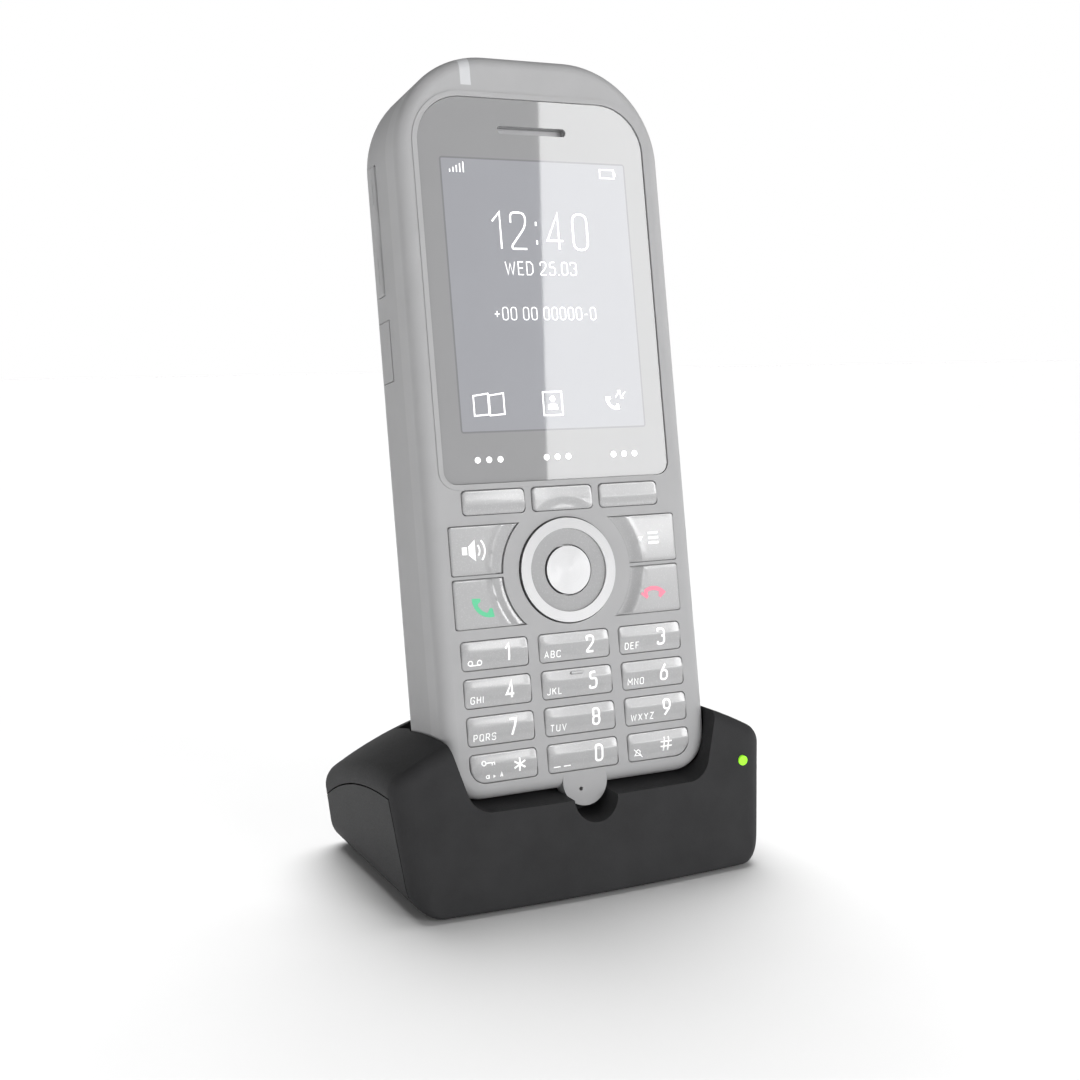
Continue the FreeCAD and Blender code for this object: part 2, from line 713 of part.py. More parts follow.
def power_parts():
    """Battery, its terminals, its cover, and the charging contacts."""
    low = (size("bay_low") + size("bay_high") - size("battery_length")) / 2
    pack = soft_box(("-battery_width / 2", "battery_width / 2"), (low, f"{low} + battery_length"),
                    ("-bay_floor - 0.3 - battery_thickness", "-bay_floor - 0.3"), "2")
    on_handset(pack, "battery_pack")
    under_board = "-board_top - board_thickness"
    blades = []
    for step in (-1, 0, 1):
        x = f"{step} * terminal_pitch"
        blades.append(block((f"{x} - 0.8", f"{x} + 0.8"), (75, 79),
                            ("-bay_floor + bay_wall + 0.05", under_board)))
    holder = slab("terminal_pitch + 2.5", (74.5, 79.5), (f"{under_board} - 1.5", under_board))
    on_handset(fuse(*blades, holder), "battery_terminals")
    lid = common(case_form("0"), cover_outline("0", "-case_depth - 1", "-case_depth + cover_thickness"))
    grip = []
    for step in range(4):
        low = f"cover_low + 2.2 + {step} * grip_pitch"
        grip.append(slab(6, (low, f"{low} + 0.6"), (-FAR, "-case_depth + 0.4")))
    inside = "-case_depth + cover_thickness"
    hooks = []
    for side in (-1, 1):
        span = (f"{side} * hook_at - hook_width / 2", f"{side} * hook_at + hook_width / 2")
        hooks.append(block(span, ("cover_high - 2", "cover_high + 1.5"),
                           (inside, f"{inside} + hook_thickness")))
    on_handset(fuse(cut(lid, *grip), *hooks), "battery_cover")
    on_handset(fuse(*contact_blocks("0.1", "1.3")), "handset_contacts")


def side_parts():
    """Volume rocker with its switches, headset socket and the socket's rubber cover."""
    outer = "-case_width / 2"
    half = "rocker_length / 2"
    rocker_cap = soft_box(("-rocker_length / 2", half), ("-rocker_width / 2", "rocker_width / 2"),
                          ("0", "rocker_proud + rocker_depth"), "rocker_width / 2 - 0.1")
    rounded(rocker_cap, rocker_cap.Tip, 0.3, flat_at(size("rocker_proud") + size("rocker_depth")))
    # drawn lying down, then stood on the case's left side with its length up the handset
    rocker_cap.Placement = FreeCAD.Placement(
        FreeCAD.Vector(), FreeCAD.Rotation(FreeCAD.Vector(0, 1, 0), FreeCAD.Vector(0, 0, 1),
                                           FreeCAD.Vector(-1, 0, 0), "ZXY"))
    place(rocker_cap, f"{outer} + rocker_depth", "rocker_at", "-side_part_depth")
    foot = block((f"{outer} + rocker_depth", f"{outer} + rocker_depth + 0.7"),
                 ("rocker_at - rocker_length / 2 + 1", "rocker_at + rocker_length / 2 - 1"),
                 ("-side_part_depth - 1.5", "-side_part_depth + 1.5"))
    on_handset(fuse(rocker_cap, foot), "volume_rocker")
    under_board = "-board_top - board_thickness"
    switches = [block((f"{outer} + 4.2", f"{outer} + 6"),
                      (f"rocker_at + {step} - 1.75", f"rocker_at + {step} + 1.75"),
                      ("-side_part_depth - 1.2", under_board)) for step in (-8.5, 8.5)]
    on_handset(fuse(*switches), "volume_switches")
    body = block((-25.6, -13.5), ("jack_at - 3", "jack_at + 3"), ("-side_part_depth - 2.6", under_board))
    socket = cut(body, rod("jack_radius", (-FAR, -14.5), "jack_at", "-side_part_depth", "x"))
    on_handset(socket, "headset_socket")
    plate = common(case_form("0.1"), side_window("jack_at", "jack_cover_length / 2", "jack_cover_width / 2",
                                                 f"{outer} + 1.4"))
    on_handset(plate, "headset_socket_cover")


def handset_screws():
    """Four thread-forming screws that join the housings."""
    screws = []
    for x, y in screw_places:
        shank = post("screw_radius", x, y, ("-screw_head_at", "-face_wall - 1.1"))
        head = post("screw_head_radius", x, y, ("-screw_head_at - 1.35", "-screw_head_at"))
        screws.append(fuse(shank, head))
    slots = [slab(FAR, (f"{end}_screw_y - 0.25", f"{end}_screw_y + 0.25"), (-14, "-screw_head_at - 0.85"))
             for end in ("upper", "lower")]
    on_handset(cut(fuse(*screws), *slots), "handset_screws")


# --------------------------------------------------------------------- cradle

def tapered(half, low, high, front, back, flare, slope):
    """A block that widens and leans back as it rises, from two heights."""
    obj = doc.addObject("Part::Wedge", "tapered")
    rise = f"(({high}) - ({low}))"
    # the wedge is drawn with its own Y upwards, so its Z points to the front
    limits = {
        "Xmin": f"-({half}) - ({flare}) * ({low})",
        "Xmax": f"({half}) + ({flare}) * ({low})",
        "Ymin": low,
        "Ymax": high,
        "Zmin": f"-({back})",
        "Zmax": f"({front}) - ({slope}) * ({low})",
        "X2min": f"-({half}) - ({flare}) * ({high})",
        "X2max": f"({half}) + ({flare}) * ({high})",
        "Z2min": f"-({back})",
        "Z2max": f"({front}) - ({slope}) * ({high})",
    }
    for prop, text in limits.items():
        bind(obj, prop, text)
    return turn(obj, X_AXIS, 90)


def dome(inset):
    """The arched top: an arch across the cradle, turned about an axis far below it."""
    half = 50.0
    reach = 40.0
    body = doc.addObject("PartDesign::Body", "dome")
    sketch = body.newObject("Sketcher::SketchObject", "arch")
    plane = [item for item in body.Origin.OriginFeatures if item.Role == "XZ_Plane"][0]
    sketch.AttachmentSupport = [(plane, "")]
    sketch.MapMode = "FlatFace"
    radius = size("arch_radius")
    centre = FreeCAD.Vector(0, size("arch_crown") - radius, 0)
    lean = math.acos(half / radius)
    arc = Part.ArcOfCircle(Part.Circle(centre, Z_AXIS, radius), lean, math.pi - lean)
    right = arc.StartPoint
    left = arc.EndPoint
    low = -20.0
    corner_left = FreeCAD.Vector(left.x, low, 0)
    corner_right = FreeCAD.Vector(right.x, low, 0)
    sketch.addGeometry([arc, Part.LineSegment(left, corner_left), Part.LineSegment(corner_left, corner_right),
                        Part.LineSegment(corner_right, right)])
    add = sketch.addConstraint
    add(Sketcher.Constraint("Coincident", 0, 2, 1, 1))
    add(Sketcher.Constraint("Coincident", 1, 2, 2, 1))
    add(Sketcher.Constraint("Coincident", 2, 2, 3, 1))
    add(Sketcher.Constraint("Coincident", 3, 2, 0, 1))
    add(Sketcher.Constraint("Vertical", 1))
    add(Sketcher.Constraint("Vertical", 3))
    add(Sketcher.Constraint("PointOnObject", 0, 3, -2))
    add(Sketcher.Constraint("Symmetric", 2, 1, 2, 2, -2))
    add(Sketcher.Constraint("DistanceX", 2, 1, 2, 2, 2 * half))
    add(Sketcher.Constraint("DistanceY", 2, 1, -1, 1, -low))
    curve = add(Sketcher.Constraint("Radius", 0, radius))
    sink = add(Sketcher.Constraint("DistanceY", 0, 3, -1, 1, radius - size("arch_crown")))
    bind(sketch, f"Constraints[{curve}]", f"arch_radius - ({inset})")
    bind(sketch, f"Constraints[{sink}]", "arch_radius - arch_crown")
    doc.recompute()
    spin = doc.addObject("Part::Revolution", "turned_arch")
    spin.Source = sketch
    spin.Axis = X_AXIS
    bind(spin, "Base.z", "arch_crown - ridge_radius")
    spin.Angle = 2 * reach
    spin.Symmetric = True
    spin.Solid = True
    return place(spin, 0, "-ridge_forward", 0)


def base_form(inset):
    """The cradle's outer shape, shrunk all over by the inset."""
    sides = tapered(f"base_half_width - ({inset})", f"foot_gap + ({inset})", "46",
                    f"base_front - ({inset})", f"base_back - ({inset})", "base_flare", "front_slope")
    bow = doc.addObject("Part::Cylinder", "bow")
    # far enough below the floor for its leaning end to stay out of the cradle
    sink = 150
    bind(bow, "Radius", f"front_bow_radius - ({inset})")
    bind(bow, "Height", 2 * sink)
    # the bowed front leans back like the flat of the front
    bow.Placement = FreeCAD.Placement(FreeCAD.Vector(), FreeCAD.Rotation(X_AXIS, 10))
    bind(bow, "Placement.Rotation.Angle", "-atan(front_slope)")
    place(bow, 0, f"-base_front + front_bow_radius / cos(atan(front_slope)) - {sink} * front_slope", -sink)
    return common(sides, bow, dome(inset))


def softened(form):
    """The cradle's outer shape with its edges rounded."""
    doc.recompute()
    shape = form.Shape
    wall = size("base_half_width")
    back = size("base_back")
    low = size("foot_gap")
    radii = []
    for index, edge in enumerate(shape.Edges, start=1):
        box = edge.BoundBox
        middle = edge.valueAt((edge.FirstParameter + edge.LastParameter) / 2)
        at_side = abs(middle.x) > wall - 1
        at_back = abs(middle.y - back) < 0.1
        at_foot = abs(middle.z - low) < 0.1
        if at_side and at_foot:
            radii.append((index, size("base_low_edge")))
        elif at_side and at_back:
            radii.append((index, size("base_back_edge")))
        elif at_side:
            radii.append((index, size("base_side_edge")))
        elif at_back and not at_foot:
            radii.append((index, size("base_back_edge")))
        elif at_foot and not at_back:
            radii.append((index, size("base_foot_edge")))
        else:
            radii.append((index, size("base_front_edge")))
    obj = doc.addObject("Part::Fillet", "softened")
    obj.Base = form
    obj.Edges = [(index, radius, radius) for index, radius in radii]
    return obj


def mouth(grow):
    """The U-shaped opening in the cradle's front, with the notch for the tongue."""
    base = tapered(f"mouth_half_width + ({grow}) - mouth_flare * lip_height", f"lip_height - ({grow})", "60",
                   "40", "12", "mouth_flare", "0")
    doc.recompute()
    low = size("lip_height")
    lower_edges = [i for i, edge in enumerate(base.Shape.Edges, start=1)
                   if edge.BoundBox.YLength > 5 and edge.BoundBox.ZMax < low + 1]
    obj = doc.addObject("Part::Fillet", "mouth")
    obj.Base = base
    obj.Edges = [(i, size("mouth_corner"), size("mouth_corner")) for i in lower_edges]
    notch = rod(f"notch_radius + ({grow})", 0, (-40, f"-seat_back + 3.7 + ({grow})"), "lip_height", "y")
    return fuse(obj, notch)


def end_zone(grow):
    """The space of the lower housing: all that lies behind and below the seam."""
    front = tapered("60", "-5", "60", f"base_front - 1.55 - seam_inset + ({grow})", "60", "0", "front_slope")
    reach = f"ridge_radius - 11.0 - seam_inset + ({grow})"
    top = rod(reach, (-60, 60), "-ridge_forward", "arch_crown - ridge_radius", "x")
    return common(front, top)


base_skin = softened(base_form("0"))
base_hollow = base_form("base_wall")
BOARD_ZONE = ("base_board_low", "base_board_low + base_board_thickness")
base_corners = [(side * size("rubber_foot_x"), end * size("rubber_foot_y"))
                for side in (-1, 1) for end in (-1, 1)]


def pin_bores(radius, low, high):
    """Holes for the charging pins, along the handset's length."""
    bores = doc.addObject("Part::Compound", "pin_bores")
    bores.Links = [rod(radius, f"{side} * contact_spacing / 2", (low, high), "-contact_depth", "y")
                   for side in (-1, 1)]
    return in_cradle(bores)


def upper_housing():
    """Front and top of the cradle: a bowed, arched shell around the handset's pocket."""
    walls = common(fuse(in_cradle(case_form("base_wall")), mouth("base_wall")), base_form("base_wall / 2"))
    shell = cut(base_skin, fuse(base_hollow, end_zone("0")))
    bosses = fuse(*[post("base_boss_radius", x, y, (4.6, 40)) for x, y in base_corners])
    bosses = common(bosses, base_form("base_wall / 2"))
    pilots = [post("base_pilot_radius", x, y, (3, 12)) for x, y in base_corners]
    lamp_hole = rod("lamp_radius + 0.05", "lamp_x", (-40, -18), "lamp_z", "y")
    pocket = in_cradle(case_form("seat_gap"))
    pins = pin_bores("pin_radius + 0.4", -6, 2)
    return keep(cut(fuse(shell, walls, bosses), pocket, mouth("0"), lamp_hole, *pilots, pins),
                "cradle_upper_housing")


def lower_housing():
    """Ends, bottom and back of the cradle: a tray that closes the upper housing."""
    tray = cut(common(base_skin, end_zone("-seam_groove")), base_hollow)
    stands = [post("stand_radius", x, y, (1.5, 4.5)) for x, y in base_corners]
    props = [post(1.6, x, y, (2, "base_board_low")) for x in (-17, 17) for y in (-9, 9)]
    feet = [post("rubber_foot_radius + 0.1", x, y, (0, 1.3)) for x, y in base_corners]
    heads = [post("base_head_radius + 0.2", x, y, (0, 2.9)) for x, y in base_corners]
    shanks = [post(1.4, x, y, (0, 6)) for x, y in base_corners]
    inlet = rod("inlet_radius + inlet_wall", 0, (20, 40), "inlet_height", "y")
    return keep(cut(fuse(tray, *stands, *props), *feet, *heads, *shanks, inlet), "cradle_lower_housing")


def cradle_inside():
    """Charging board, contact block and pins, lamp, inlet, screws and feet."""
    board = fuse(slab(22, (-15, 14), BOARD_ZONE), block((20, 35), (-11, 4), BOARD_ZONE))
    keep(board, "charging_board")
    below_pocket = (-13, "-seat_gap - base_wall - 0.1")
    carrier = in_cradle(slab(10.5, below_pocket, ("-contact_depth - 3", "-contact_depth + 3")))
    board_space = slab(FAR, (-FAR, FAR), (-FAR, "base_board_low + base_board_thickness"))
    keep(cut(carrier, board_space, pin_bores("pin_radius + 0.05", -9.5, 2)), "contact_block")
    for side, name in ((-1, "charging_pin_left"), (1, "charging_pin_right")):
        x = f"{side} * contact_spacing / 2"
        shaft = rod("pin_radius - 0.02", x, (-8, "-pin_top"), "-contact_depth", "y")
        tip = doc.addObject("Part::Cone", "tip")
        bind(tip, "Radius1", "pin_radius - 0.02")
        bind(tip, "Radius2", "pin_radius / 2")
        bind(tip, "Height", "pin_tip")
        turn(place(tip, x, "-pin_top", "-contact_depth"), X_AXIS, -90)
        on_handset(fuse(shaft, tip), name)
    lamp_back = -7.0
    lead = rod("lamp_radius", "lamp_x", (-22.9, lamp_back), "lamp_z", "y")
    drop = post("lamp_radius", "lamp_x - 1.4", lamp_back, ("base_board_low + 2.4", "lamp_z"))
    elbow = rod("lamp_radius", ("lamp_x - 1.4", "lamp_x"), lamp_back, "lamp_z", "x")
    keep(fuse(lead, drop, elbow, ball("lamp_radius", "lamp_x - 1.4", lamp_back, "lamp_z"),
              ball("lamp_radius", "lamp_x", lamp_back, "lamp_z")), "status_light_pipe")
    keep(block(("lamp_x - 2.4", "lamp_x - 0.4"), (lamp_back - 0.8, lamp_back + 0.8),
               ("base_board_low + base_board_thickness", "base_board_low + 2.3")), "status_led")
    socket = cut(slab(3.2, (14.8, "base_back - base_wall - 0.1"), ("base_board_low", "inlet_height + 3.2")),
                 rod("inlet_radius", 0, (17, 40), "inlet_height", "y"))
    pin = rod(0.6, 0, (16.5, 24.5), "inlet_height", "y")
    keep(fuse(socket, pin), "power_inlet")
    screws = [fuse(post("base_screw_radius", x, y, (2.85, 11)), post("base_head_radius", x, y, (1.4, 2.85)))
              for x, y in base_corners]
    keep(fuse(*screws), "cradle_screws")
    feet = [post("rubber_foot_radius", x, y, (0, 1.25)) for x, y in base_corners]
    keep(fuse(*feet), "rubber_feet")


upper_housing()
lower_housing()
cradle_inside()
front_housing()
rear_housing()
display_parts()
board_parts()
nav_parts()
power_parts()
side_parts()
handset_screws()
for key in number_keys:
    number_key(*key)
for name, column in soft_keys.items():
    soft_key(name, column)
for name, (side, row) in side_keys.items():
    side_key(name, side, row)

doc.recompute()
failed = [obj.Label for obj in doc.Objects if {"Invalid", "Error"} & set(obj.State)]
for node in nodes:
    if node.Shape.isNull() or not node.Shape.isValid() or not node.Shape.Solids:
        failed.append(node.Label)
if failed:
    raise SystemExit("failed: " + ", ".join(failed))

os.makedirs("parts", exist_ok=True)
for node in nodes:
    node.Shape.exportStep(f"parts/{node.Label}.step")
    print(f"{node.Label:24s} {len(node.Shape.Solids)} solids {node.Shape.Volume:10.1f} mm3")
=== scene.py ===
"""Looks of a cordless phone handset standing in its charging cradle.

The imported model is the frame, in metres. New pieces of the handset are drawn flat, in millimetres:
u across it, v up from its lower end and w out of its front face. HANDSET stands them in the cradle.
"""

import json
import math

import bmesh
import bpy
from mathutils import Euler, Matrix, Vector

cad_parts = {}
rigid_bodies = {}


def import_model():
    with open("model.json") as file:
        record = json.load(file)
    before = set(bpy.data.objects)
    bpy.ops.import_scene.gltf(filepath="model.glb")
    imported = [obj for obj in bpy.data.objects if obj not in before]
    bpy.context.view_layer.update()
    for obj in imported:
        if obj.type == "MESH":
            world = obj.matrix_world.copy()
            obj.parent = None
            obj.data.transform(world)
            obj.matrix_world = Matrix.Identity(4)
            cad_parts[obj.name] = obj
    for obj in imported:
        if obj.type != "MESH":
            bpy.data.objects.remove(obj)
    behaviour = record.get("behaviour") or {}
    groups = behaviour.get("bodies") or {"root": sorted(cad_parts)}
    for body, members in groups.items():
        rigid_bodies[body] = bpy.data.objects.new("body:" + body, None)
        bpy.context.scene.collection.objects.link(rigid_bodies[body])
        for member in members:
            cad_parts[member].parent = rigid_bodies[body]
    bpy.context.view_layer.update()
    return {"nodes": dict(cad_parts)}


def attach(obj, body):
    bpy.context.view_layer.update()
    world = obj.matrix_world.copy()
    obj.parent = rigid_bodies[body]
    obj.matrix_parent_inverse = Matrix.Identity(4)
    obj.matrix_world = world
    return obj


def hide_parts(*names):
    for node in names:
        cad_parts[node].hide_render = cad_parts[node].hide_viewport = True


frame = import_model()

MM = 0.001
LEAN = math.radians(9.5)
SEAT = Vector((0, -19.6, 20.1))
UPRIGHT = Euler((math.pi / 2 - LEAN, 0, 0))
HANDSET = Matrix.Translation(SEAT * MM) @ UPRIGHT.to_matrix().to_4x4() @ Matrix.Scale(MM, 4)

# the keys' section and outlines, in millimetres
KEY_RISE = 0.45
FOOT_TOP = -1.9
FOOT_LOW = -2.4
STEM_END = -4.55
STEM_RADIUS = 1.0
FOOT_MARGIN = 0.45
KEY_EDGE = 0.32
KEY_SPREAD = 0.09
RELIEF_REACH = 1.0
NUMBER_COLUMN = 17.06
NUMBER_PITCH = 7.2
NUMBER_LOW = 6.0
NUMBER_HEIGHT = 5.38
NUMBER_WIDTHS = {-1: 13.85, 0: 15.2, 1: 13.85}
NUMBER_CORNER = 0.7
STAR_CORNER = 3.2
SOFT_PITCH = 14.8
SOFT_SIZE = (13.05, 4.56)
SOFT_AT = 56.9
SOFT_CORNER = 0.9
SCOOP_RADIUS = 7.6
SCOOP_DROP = 7.3
NAV_AT = 42.6
SIDE_OUTER = 24.6
SIDE_HEIGHT = 9.3
SIDE_GAP = 1.0
SIDE_ARC = 14.1
SIDE_CREST = 16.4
SIDE_CORNER = 0.5
SIDE_STEM = NUMBER_COLUMN * 1.13
SIDE_KEYS = {"speaker_key": (-1, 1), "call_key": (-1, -1), "menu_key": (1, 1), "end_key": (1, -1)}

# the rocker's middle (up the handset, out of its face), half size, outer face and inner end
ROCKER_AT = Vector((112.8, -15.0))
ROCKER_HALF = (13.0, 1.7)
ROCKER_FACE = -29.1
ROCKER_BACK = -26.15

# the window's surface and the part of the display that shows through it
LENS_TOP = -0.15
VIEW_HALF = 20.0
VIEW_LOW = 70.7
VIEW_HIGH = 124.0


def srgb(*levels):
    """Linear colour from display levels of 0 to 255."""
    shares = [level / 255 for level in levels]
    linear = [x / 12.92 if x <= 0.04045 else ((x + 0.055) / 1.055) ** 2.4 for x in shares]
    return (*linear, 1.0)


def scaled(colour, factor):
    return (*[min(1.0, x * factor) for x in colour[:3]], 1.0)


# ------------------------------------------------------------------ camera

LENS_LENGTH = 49.46
SENSOR_WIDTH = 36.0
CAMERA_AT = Vector((-0.12866, -0.27262, 0.10583))
CAMERA_YAW = math.radians(-25.248)
CAMERA_DROP = math.radians(7.406)
CAMERA_ROLL = math.radians(-0.629)


def make_camera():
    data = bpy.data.cameras.new("camera")
    data.sensor_width = SENSOR_WIDTH
    data.lens = LENS_LENGTH
    data.clip_start = 0.01
    data.clip_end = 50.0
    camera = bpy.data.objects.new("camera", data)
    camera.rotation_euler = Euler((math.pi / 2 - CAMERA_DROP, 0, CAMERA_YAW))
    spin = Matrix.Rotation(CAMERA_ROLL, 4, "Z")
    camera.matrix_world = Matrix.Translation(CAMERA_AT) @ camera.rotation_euler.to_matrix().to_4x4() @ spin
    bpy.context.scene.collection.objects.link(camera)
    bpy.context.scene.camera = camera


# --------------------------------------------------------------- materials

class Look:
    """A material's nodes, with short ways to add and join them."""

    def __init__(self, name):
        self.material = bpy.data.materials.new(name)
        self.material.use_nodes = True
        self.tree = self.material.node_tree
        self.surface = self.tree.nodes["Principled BSDF"]
        self.place = self.node("ShaderNodeTexCoord").outputs["Object"]

    def node(self, kind, **settings):
        made = self.tree.nodes.new(kind)
        for name, value in settings.items():
            setattr(made, name, value)
        return made

    def set(self, socket, value):
        self.surface.inputs[socket].default_value = value

    def join(self, output, target, socket):
        self.tree.links.new(output, target.inputs[socket])

    def noise(self, size, detail=2.0):
        """Noise with features of about that size in millimetres."""
        made = self.node("ShaderNodeTexNoise")
        made.inputs["Scale"].default_value = 1 / (size * MM)
        made.inputs["Detail"].default_value = detail
        self.join(self.place, made, "Vector")
        return made.outputs["Fac"]

    def ramp(self, factor, stops):
        """A colour ramp from (position, colour) pairs."""
        made = self.node("ShaderNodeValToRGB")
        elements = made.color_ramp.elements
        while len(elements) < len(stops):
            elements.new(0.5)
        for element, (position, colour) in zip(elements, stops):
            element.position = position
            element.color = colour
        self.join(factor, made, "Fac")
        return made.outputs["Color"]

    def between(self, factor, low, high):
        made = self.node("ShaderNodeMapRange")
        made.inputs["From Min"].default_value = 0.3
        made.inputs["From Max"].default_value = 0.7
        made.inputs["To Min"].default_value = low
        made.inputs["To Max"].default_value = high
        self.join(factor, made, "Value")
        return made.outputs["Result"]

    def bump(self, height, depth):
        """Relief of that depth in millimetres."""
        made = self.node("ShaderNodeBump")
        made.inputs["Distance"].default_value = depth * MM
        self.join(height, made, "Height")
        self.join(made.outputs["Normal"], self.surface, "Normal")

    def about(self, centre):
        """Coordinates in millimetres about a point of the handset, along its own axes."""
        made = self.node("ShaderNodeMapping", vector_type="TEXTURE")
        made.inputs["Location"].default_value = HANDSET @ Vector(centre)
        made.inputs["Rotation"].default_value = UPRIGHT
        made.inputs["Scale"].default_value = (MM, MM, MM)
        self.join(self.place, made, "Vector")
        return made.outputs["Vector"]


def moulded(name, colour, rough, grain=0.35, depth=0.01, cloud=0.04, gloss=0.5, coat=0.0):
    """Moulded plastic: a fine grain, a slight cloudiness and uneven gloss."""
    look = Look(name)
    broad = look.noise(7.0, 4.0)
    fine = look.noise(grain, 3.0)
    colours = look.ramp(broad, [(0.3, scaled(colour, 1 - cloud)), (0.7, scaled(colour, 1 + cloud))])
    look.join(colours, look.surface, "Base Color")
    look.join(look.between(fine, rough - 0.05, rough + 0.05), look.surface, "Roughness")
    look.bump(fine, depth)
    look.set("Specular IOR Level", gloss)
    look.set("Coat Weight", coat)
    look.set("Coat Roughness", 0.08)
    return look.material


def glazed(name, colour, glow=0.0, rough=0.02):
    """A polished flat pane: smooth enough to mirror, with a faint unevenness behind it."""
    look = Look(name)
    broad = look.noise(25.0, 2.0)
    colours = look.ramp(broad, [(0.3, scaled(colour, 0.985)), (0.7, scaled(colour, 1.015))])
    look.join(colours, look.surface, "Base Color")
    look.join(colours, look.surface, "Emission Color")
    look.set("Emission Strength", glow)
    look.join(look.between(look.noise(3.0), rough, rough + 0.01), look.surface, "Roughness")
    return look.material


def glowing(name, colour, strength, rough=0.1):
    """A lit mark: brighter where its print is denser."""
    look = Look(name)
    colours = look.ramp(look.noise(0.8), [(0.3, scaled(colour, 0.93)), (0.7, colour)])
    look.join(colours, look.surface, "Base Color")
    look.join(colours, look.surface, "Emission Color")
    look.set("Emission Strength", strength)
    look.set("Roughness", rough)
    return look.material


def printed_glowing(name, colour):
    """Ink on a key: matt, with a slightly uneven edge of gloss and a faint painted glow, as if more light
    fell on it.
    """
    look = Look(name)
    colours = look.ramp(look.noise(0.3), [(0.3, scaled(colour, 0.95)), (0.7, colour)])
    look.join(colours, look.surface, "Base Color")
    look.join(colours, look.surface, "Emission Color")
    # painted light: the ink glows a little though it is no lamp
    look.set("Emission Strength", 0.25)
    look.set("Roughness", 0.4)
    return look.material


def turned(name, colour, centre, rough, grain, pull):
    """Metal turned on a lathe about a point of the handset: fine rings and a fanned gloss."""
    look = Look(name)
    local = look.about(centre)
    split = look.node("ShaderNodeSeparateXYZ")
    look.join(local, split, "Vector")
    flat = look.node("ShaderNodeCombineXYZ")
    look.join(split.outputs["X"], flat, "X")
    look.join(split.outputs["Y"], flat, "Y")
    reach = look.node("ShaderNodeVectorMath", operation="LENGTH")
    look.join(flat.outputs["Vector"], reach, 0)
    rings = look.node("ShaderNodeTexNoise", noise_dimensions="1D")
    rings.inputs["Scale"].default_value = 1 / grain
    rings.inputs["Detail"].default_value = 3.0
    look.join(reach.outputs["Value"], rings, "W")
    colours = look.ramp(rings.outputs["Fac"], [(0.3, scaled(colour, 0.94)), (0.7, scaled(colour, 1.04))])
    look.join(colours, look.surface, "Base Color")
    look.join(look.between(rings.outputs["Fac"], rough - 0.04, rough + 0.04), look.surface, "Roughness")
    look.bump(rings.outputs["Fac"], 0.004)
    around = look.node("ShaderNodeVectorMath", operation="CROSS_PRODUCT")
    look.join(flat.outputs["Vector"], around, 0)
    around.inputs[1].default_value = (0, 0, 1)
    stand = look.node("ShaderNodeVectorRotate", rotation_type="X_AXIS")
    stand.inputs["Angle"].default_value = math.pi / 2 - LEAN
    look.join(around.outputs["Vector"], stand, "Vector")
    world = look.node("ShaderNodeVectorTransform", vector_type="VECTOR",
                      convert_from="OBJECT", convert_to="WORLD")
    look.join(stand.outputs["Vector"], world, "Vector")
    look.join(world.outputs["Vector"], look.surface, "Tangent")
    look.set("Metallic", 1.0)
    look.set("Anisotropic", pull)
    return look.material


def make_materials():
    """One look for each material slot of the record, and a few more."""
    grey = srgb(178, 178, 179)
    looks = {
        "cradle_shell": moulded("cradle_plastic", srgb(57, 57, 58), 0.62, 0.28, 0.04, 0.08, 0.12),
        "cradle_tray": moulded("tray_plastic", srgb(55, 55, 56), 0.6, 0.3, 0.02, 0.06, 0.15),
        "handset_shell": moulded("handset_plastic", grey, 0.5, 0.2, 0.006, 0.02, 0.4),
        "window": glazed("window_glass", srgb(155, 155, 156)),
        "key_plastic": moulded("key_plastic", srgb(170, 170, 171), 0.25, 0.25, 0.004, 0.02, 0.6, 0.5),
        "bright_trim": turned("ring_metal", srgb(226, 226, 227), (0, NAV_AT, 0), 0.36, 0.12, 0.4),
        "light_guide": moulded("guide_plastic", srgb(214, 215, 217), 0.2, 0.6, 0.002, 0.02, 0.5, 0.4),
        "rubber": moulded("rubber", srgb(30, 30, 31), 0.85, 0.5, 0.02, 0.1, 0.2),
        "board": moulded("board_lacquer", srgb(24, 92, 52), 0.35, 0.8, 0.01, 0.12),
        "gold_contact": moulded("gold_plating", srgb(226, 188, 110), 0.25, 0.4, 0.003, 0.05),
        "steel": moulded("steel_plating", srgb(188, 190, 194), 0.3, 0.3, 0.004, 0.05),
        "black_plastic": moulded("black_plastic", srgb(36, 36, 38), 0.45, 0.4, 0.01, 0.08),
        "screen": glazed("panel_film", srgb(150, 151, 156), 0.05, 0.2),
        "battery_wrap": moulded("battery_film", srgb(70, 76, 88), 0.3, 2.0, 0.01, 0.06),
        "silicone": moulded("silicone", srgb(205, 205, 205), 0.6, 0.4, 0.008, 0.05),
        "lit_lamp": glowing("lamp_glow", srgb(150, 232, 40), 0.9, 0.25),
    }
    for slot in ("gold_contact", "steel"):
        looks[slot].node_tree.nodes["Principled BSDF"].inputs["Metallic"].default_value = 1.0
    looks["disc"] = turned("disc_metal", srgb(232, 232, 233), (0, NAV_AT, 0), 0.32, 0.08, 0.85)
    # the key inks carry a faint painted glow
    looks["ink"] = printed_glowing("white_ink", srgb(250, 250, 250))
    looks["green_ink"] = printed_glowing("green_ink", srgb(100, 196, 150))
    looks["red_ink"] = printed_glowing("red_ink", srgb(236, 140, 160))
    looks["picture"] = glazed("picture_glass", srgb(160, 161, 166), 0.03)
    # painted shade: a darker ring round the picture, in place of the shadow along its edge where it lies
    # behind the glass
    looks["picture_edge"] = glazed("picture_edge", srgb(138, 138, 141))
    looks["lit_mark"] = glowing("picture_mark", srgb(255, 255, 255), 0.7, 0.05)
    looks["back_shell"] = moulded("back_plastic", srgb(174, 174, 175), 0.55, 0.2, 0.008, 0.02, 0.3)
    looks["ear"] = moulded("ear_mesh", srgb(196, 196, 198), 0.5, 0.25, 0.02, 0.06, 0.4)
    looks["lime"] = glowing("lime_glow", srgb(140, 220, 40), 0.8, 0.25)
    return looks


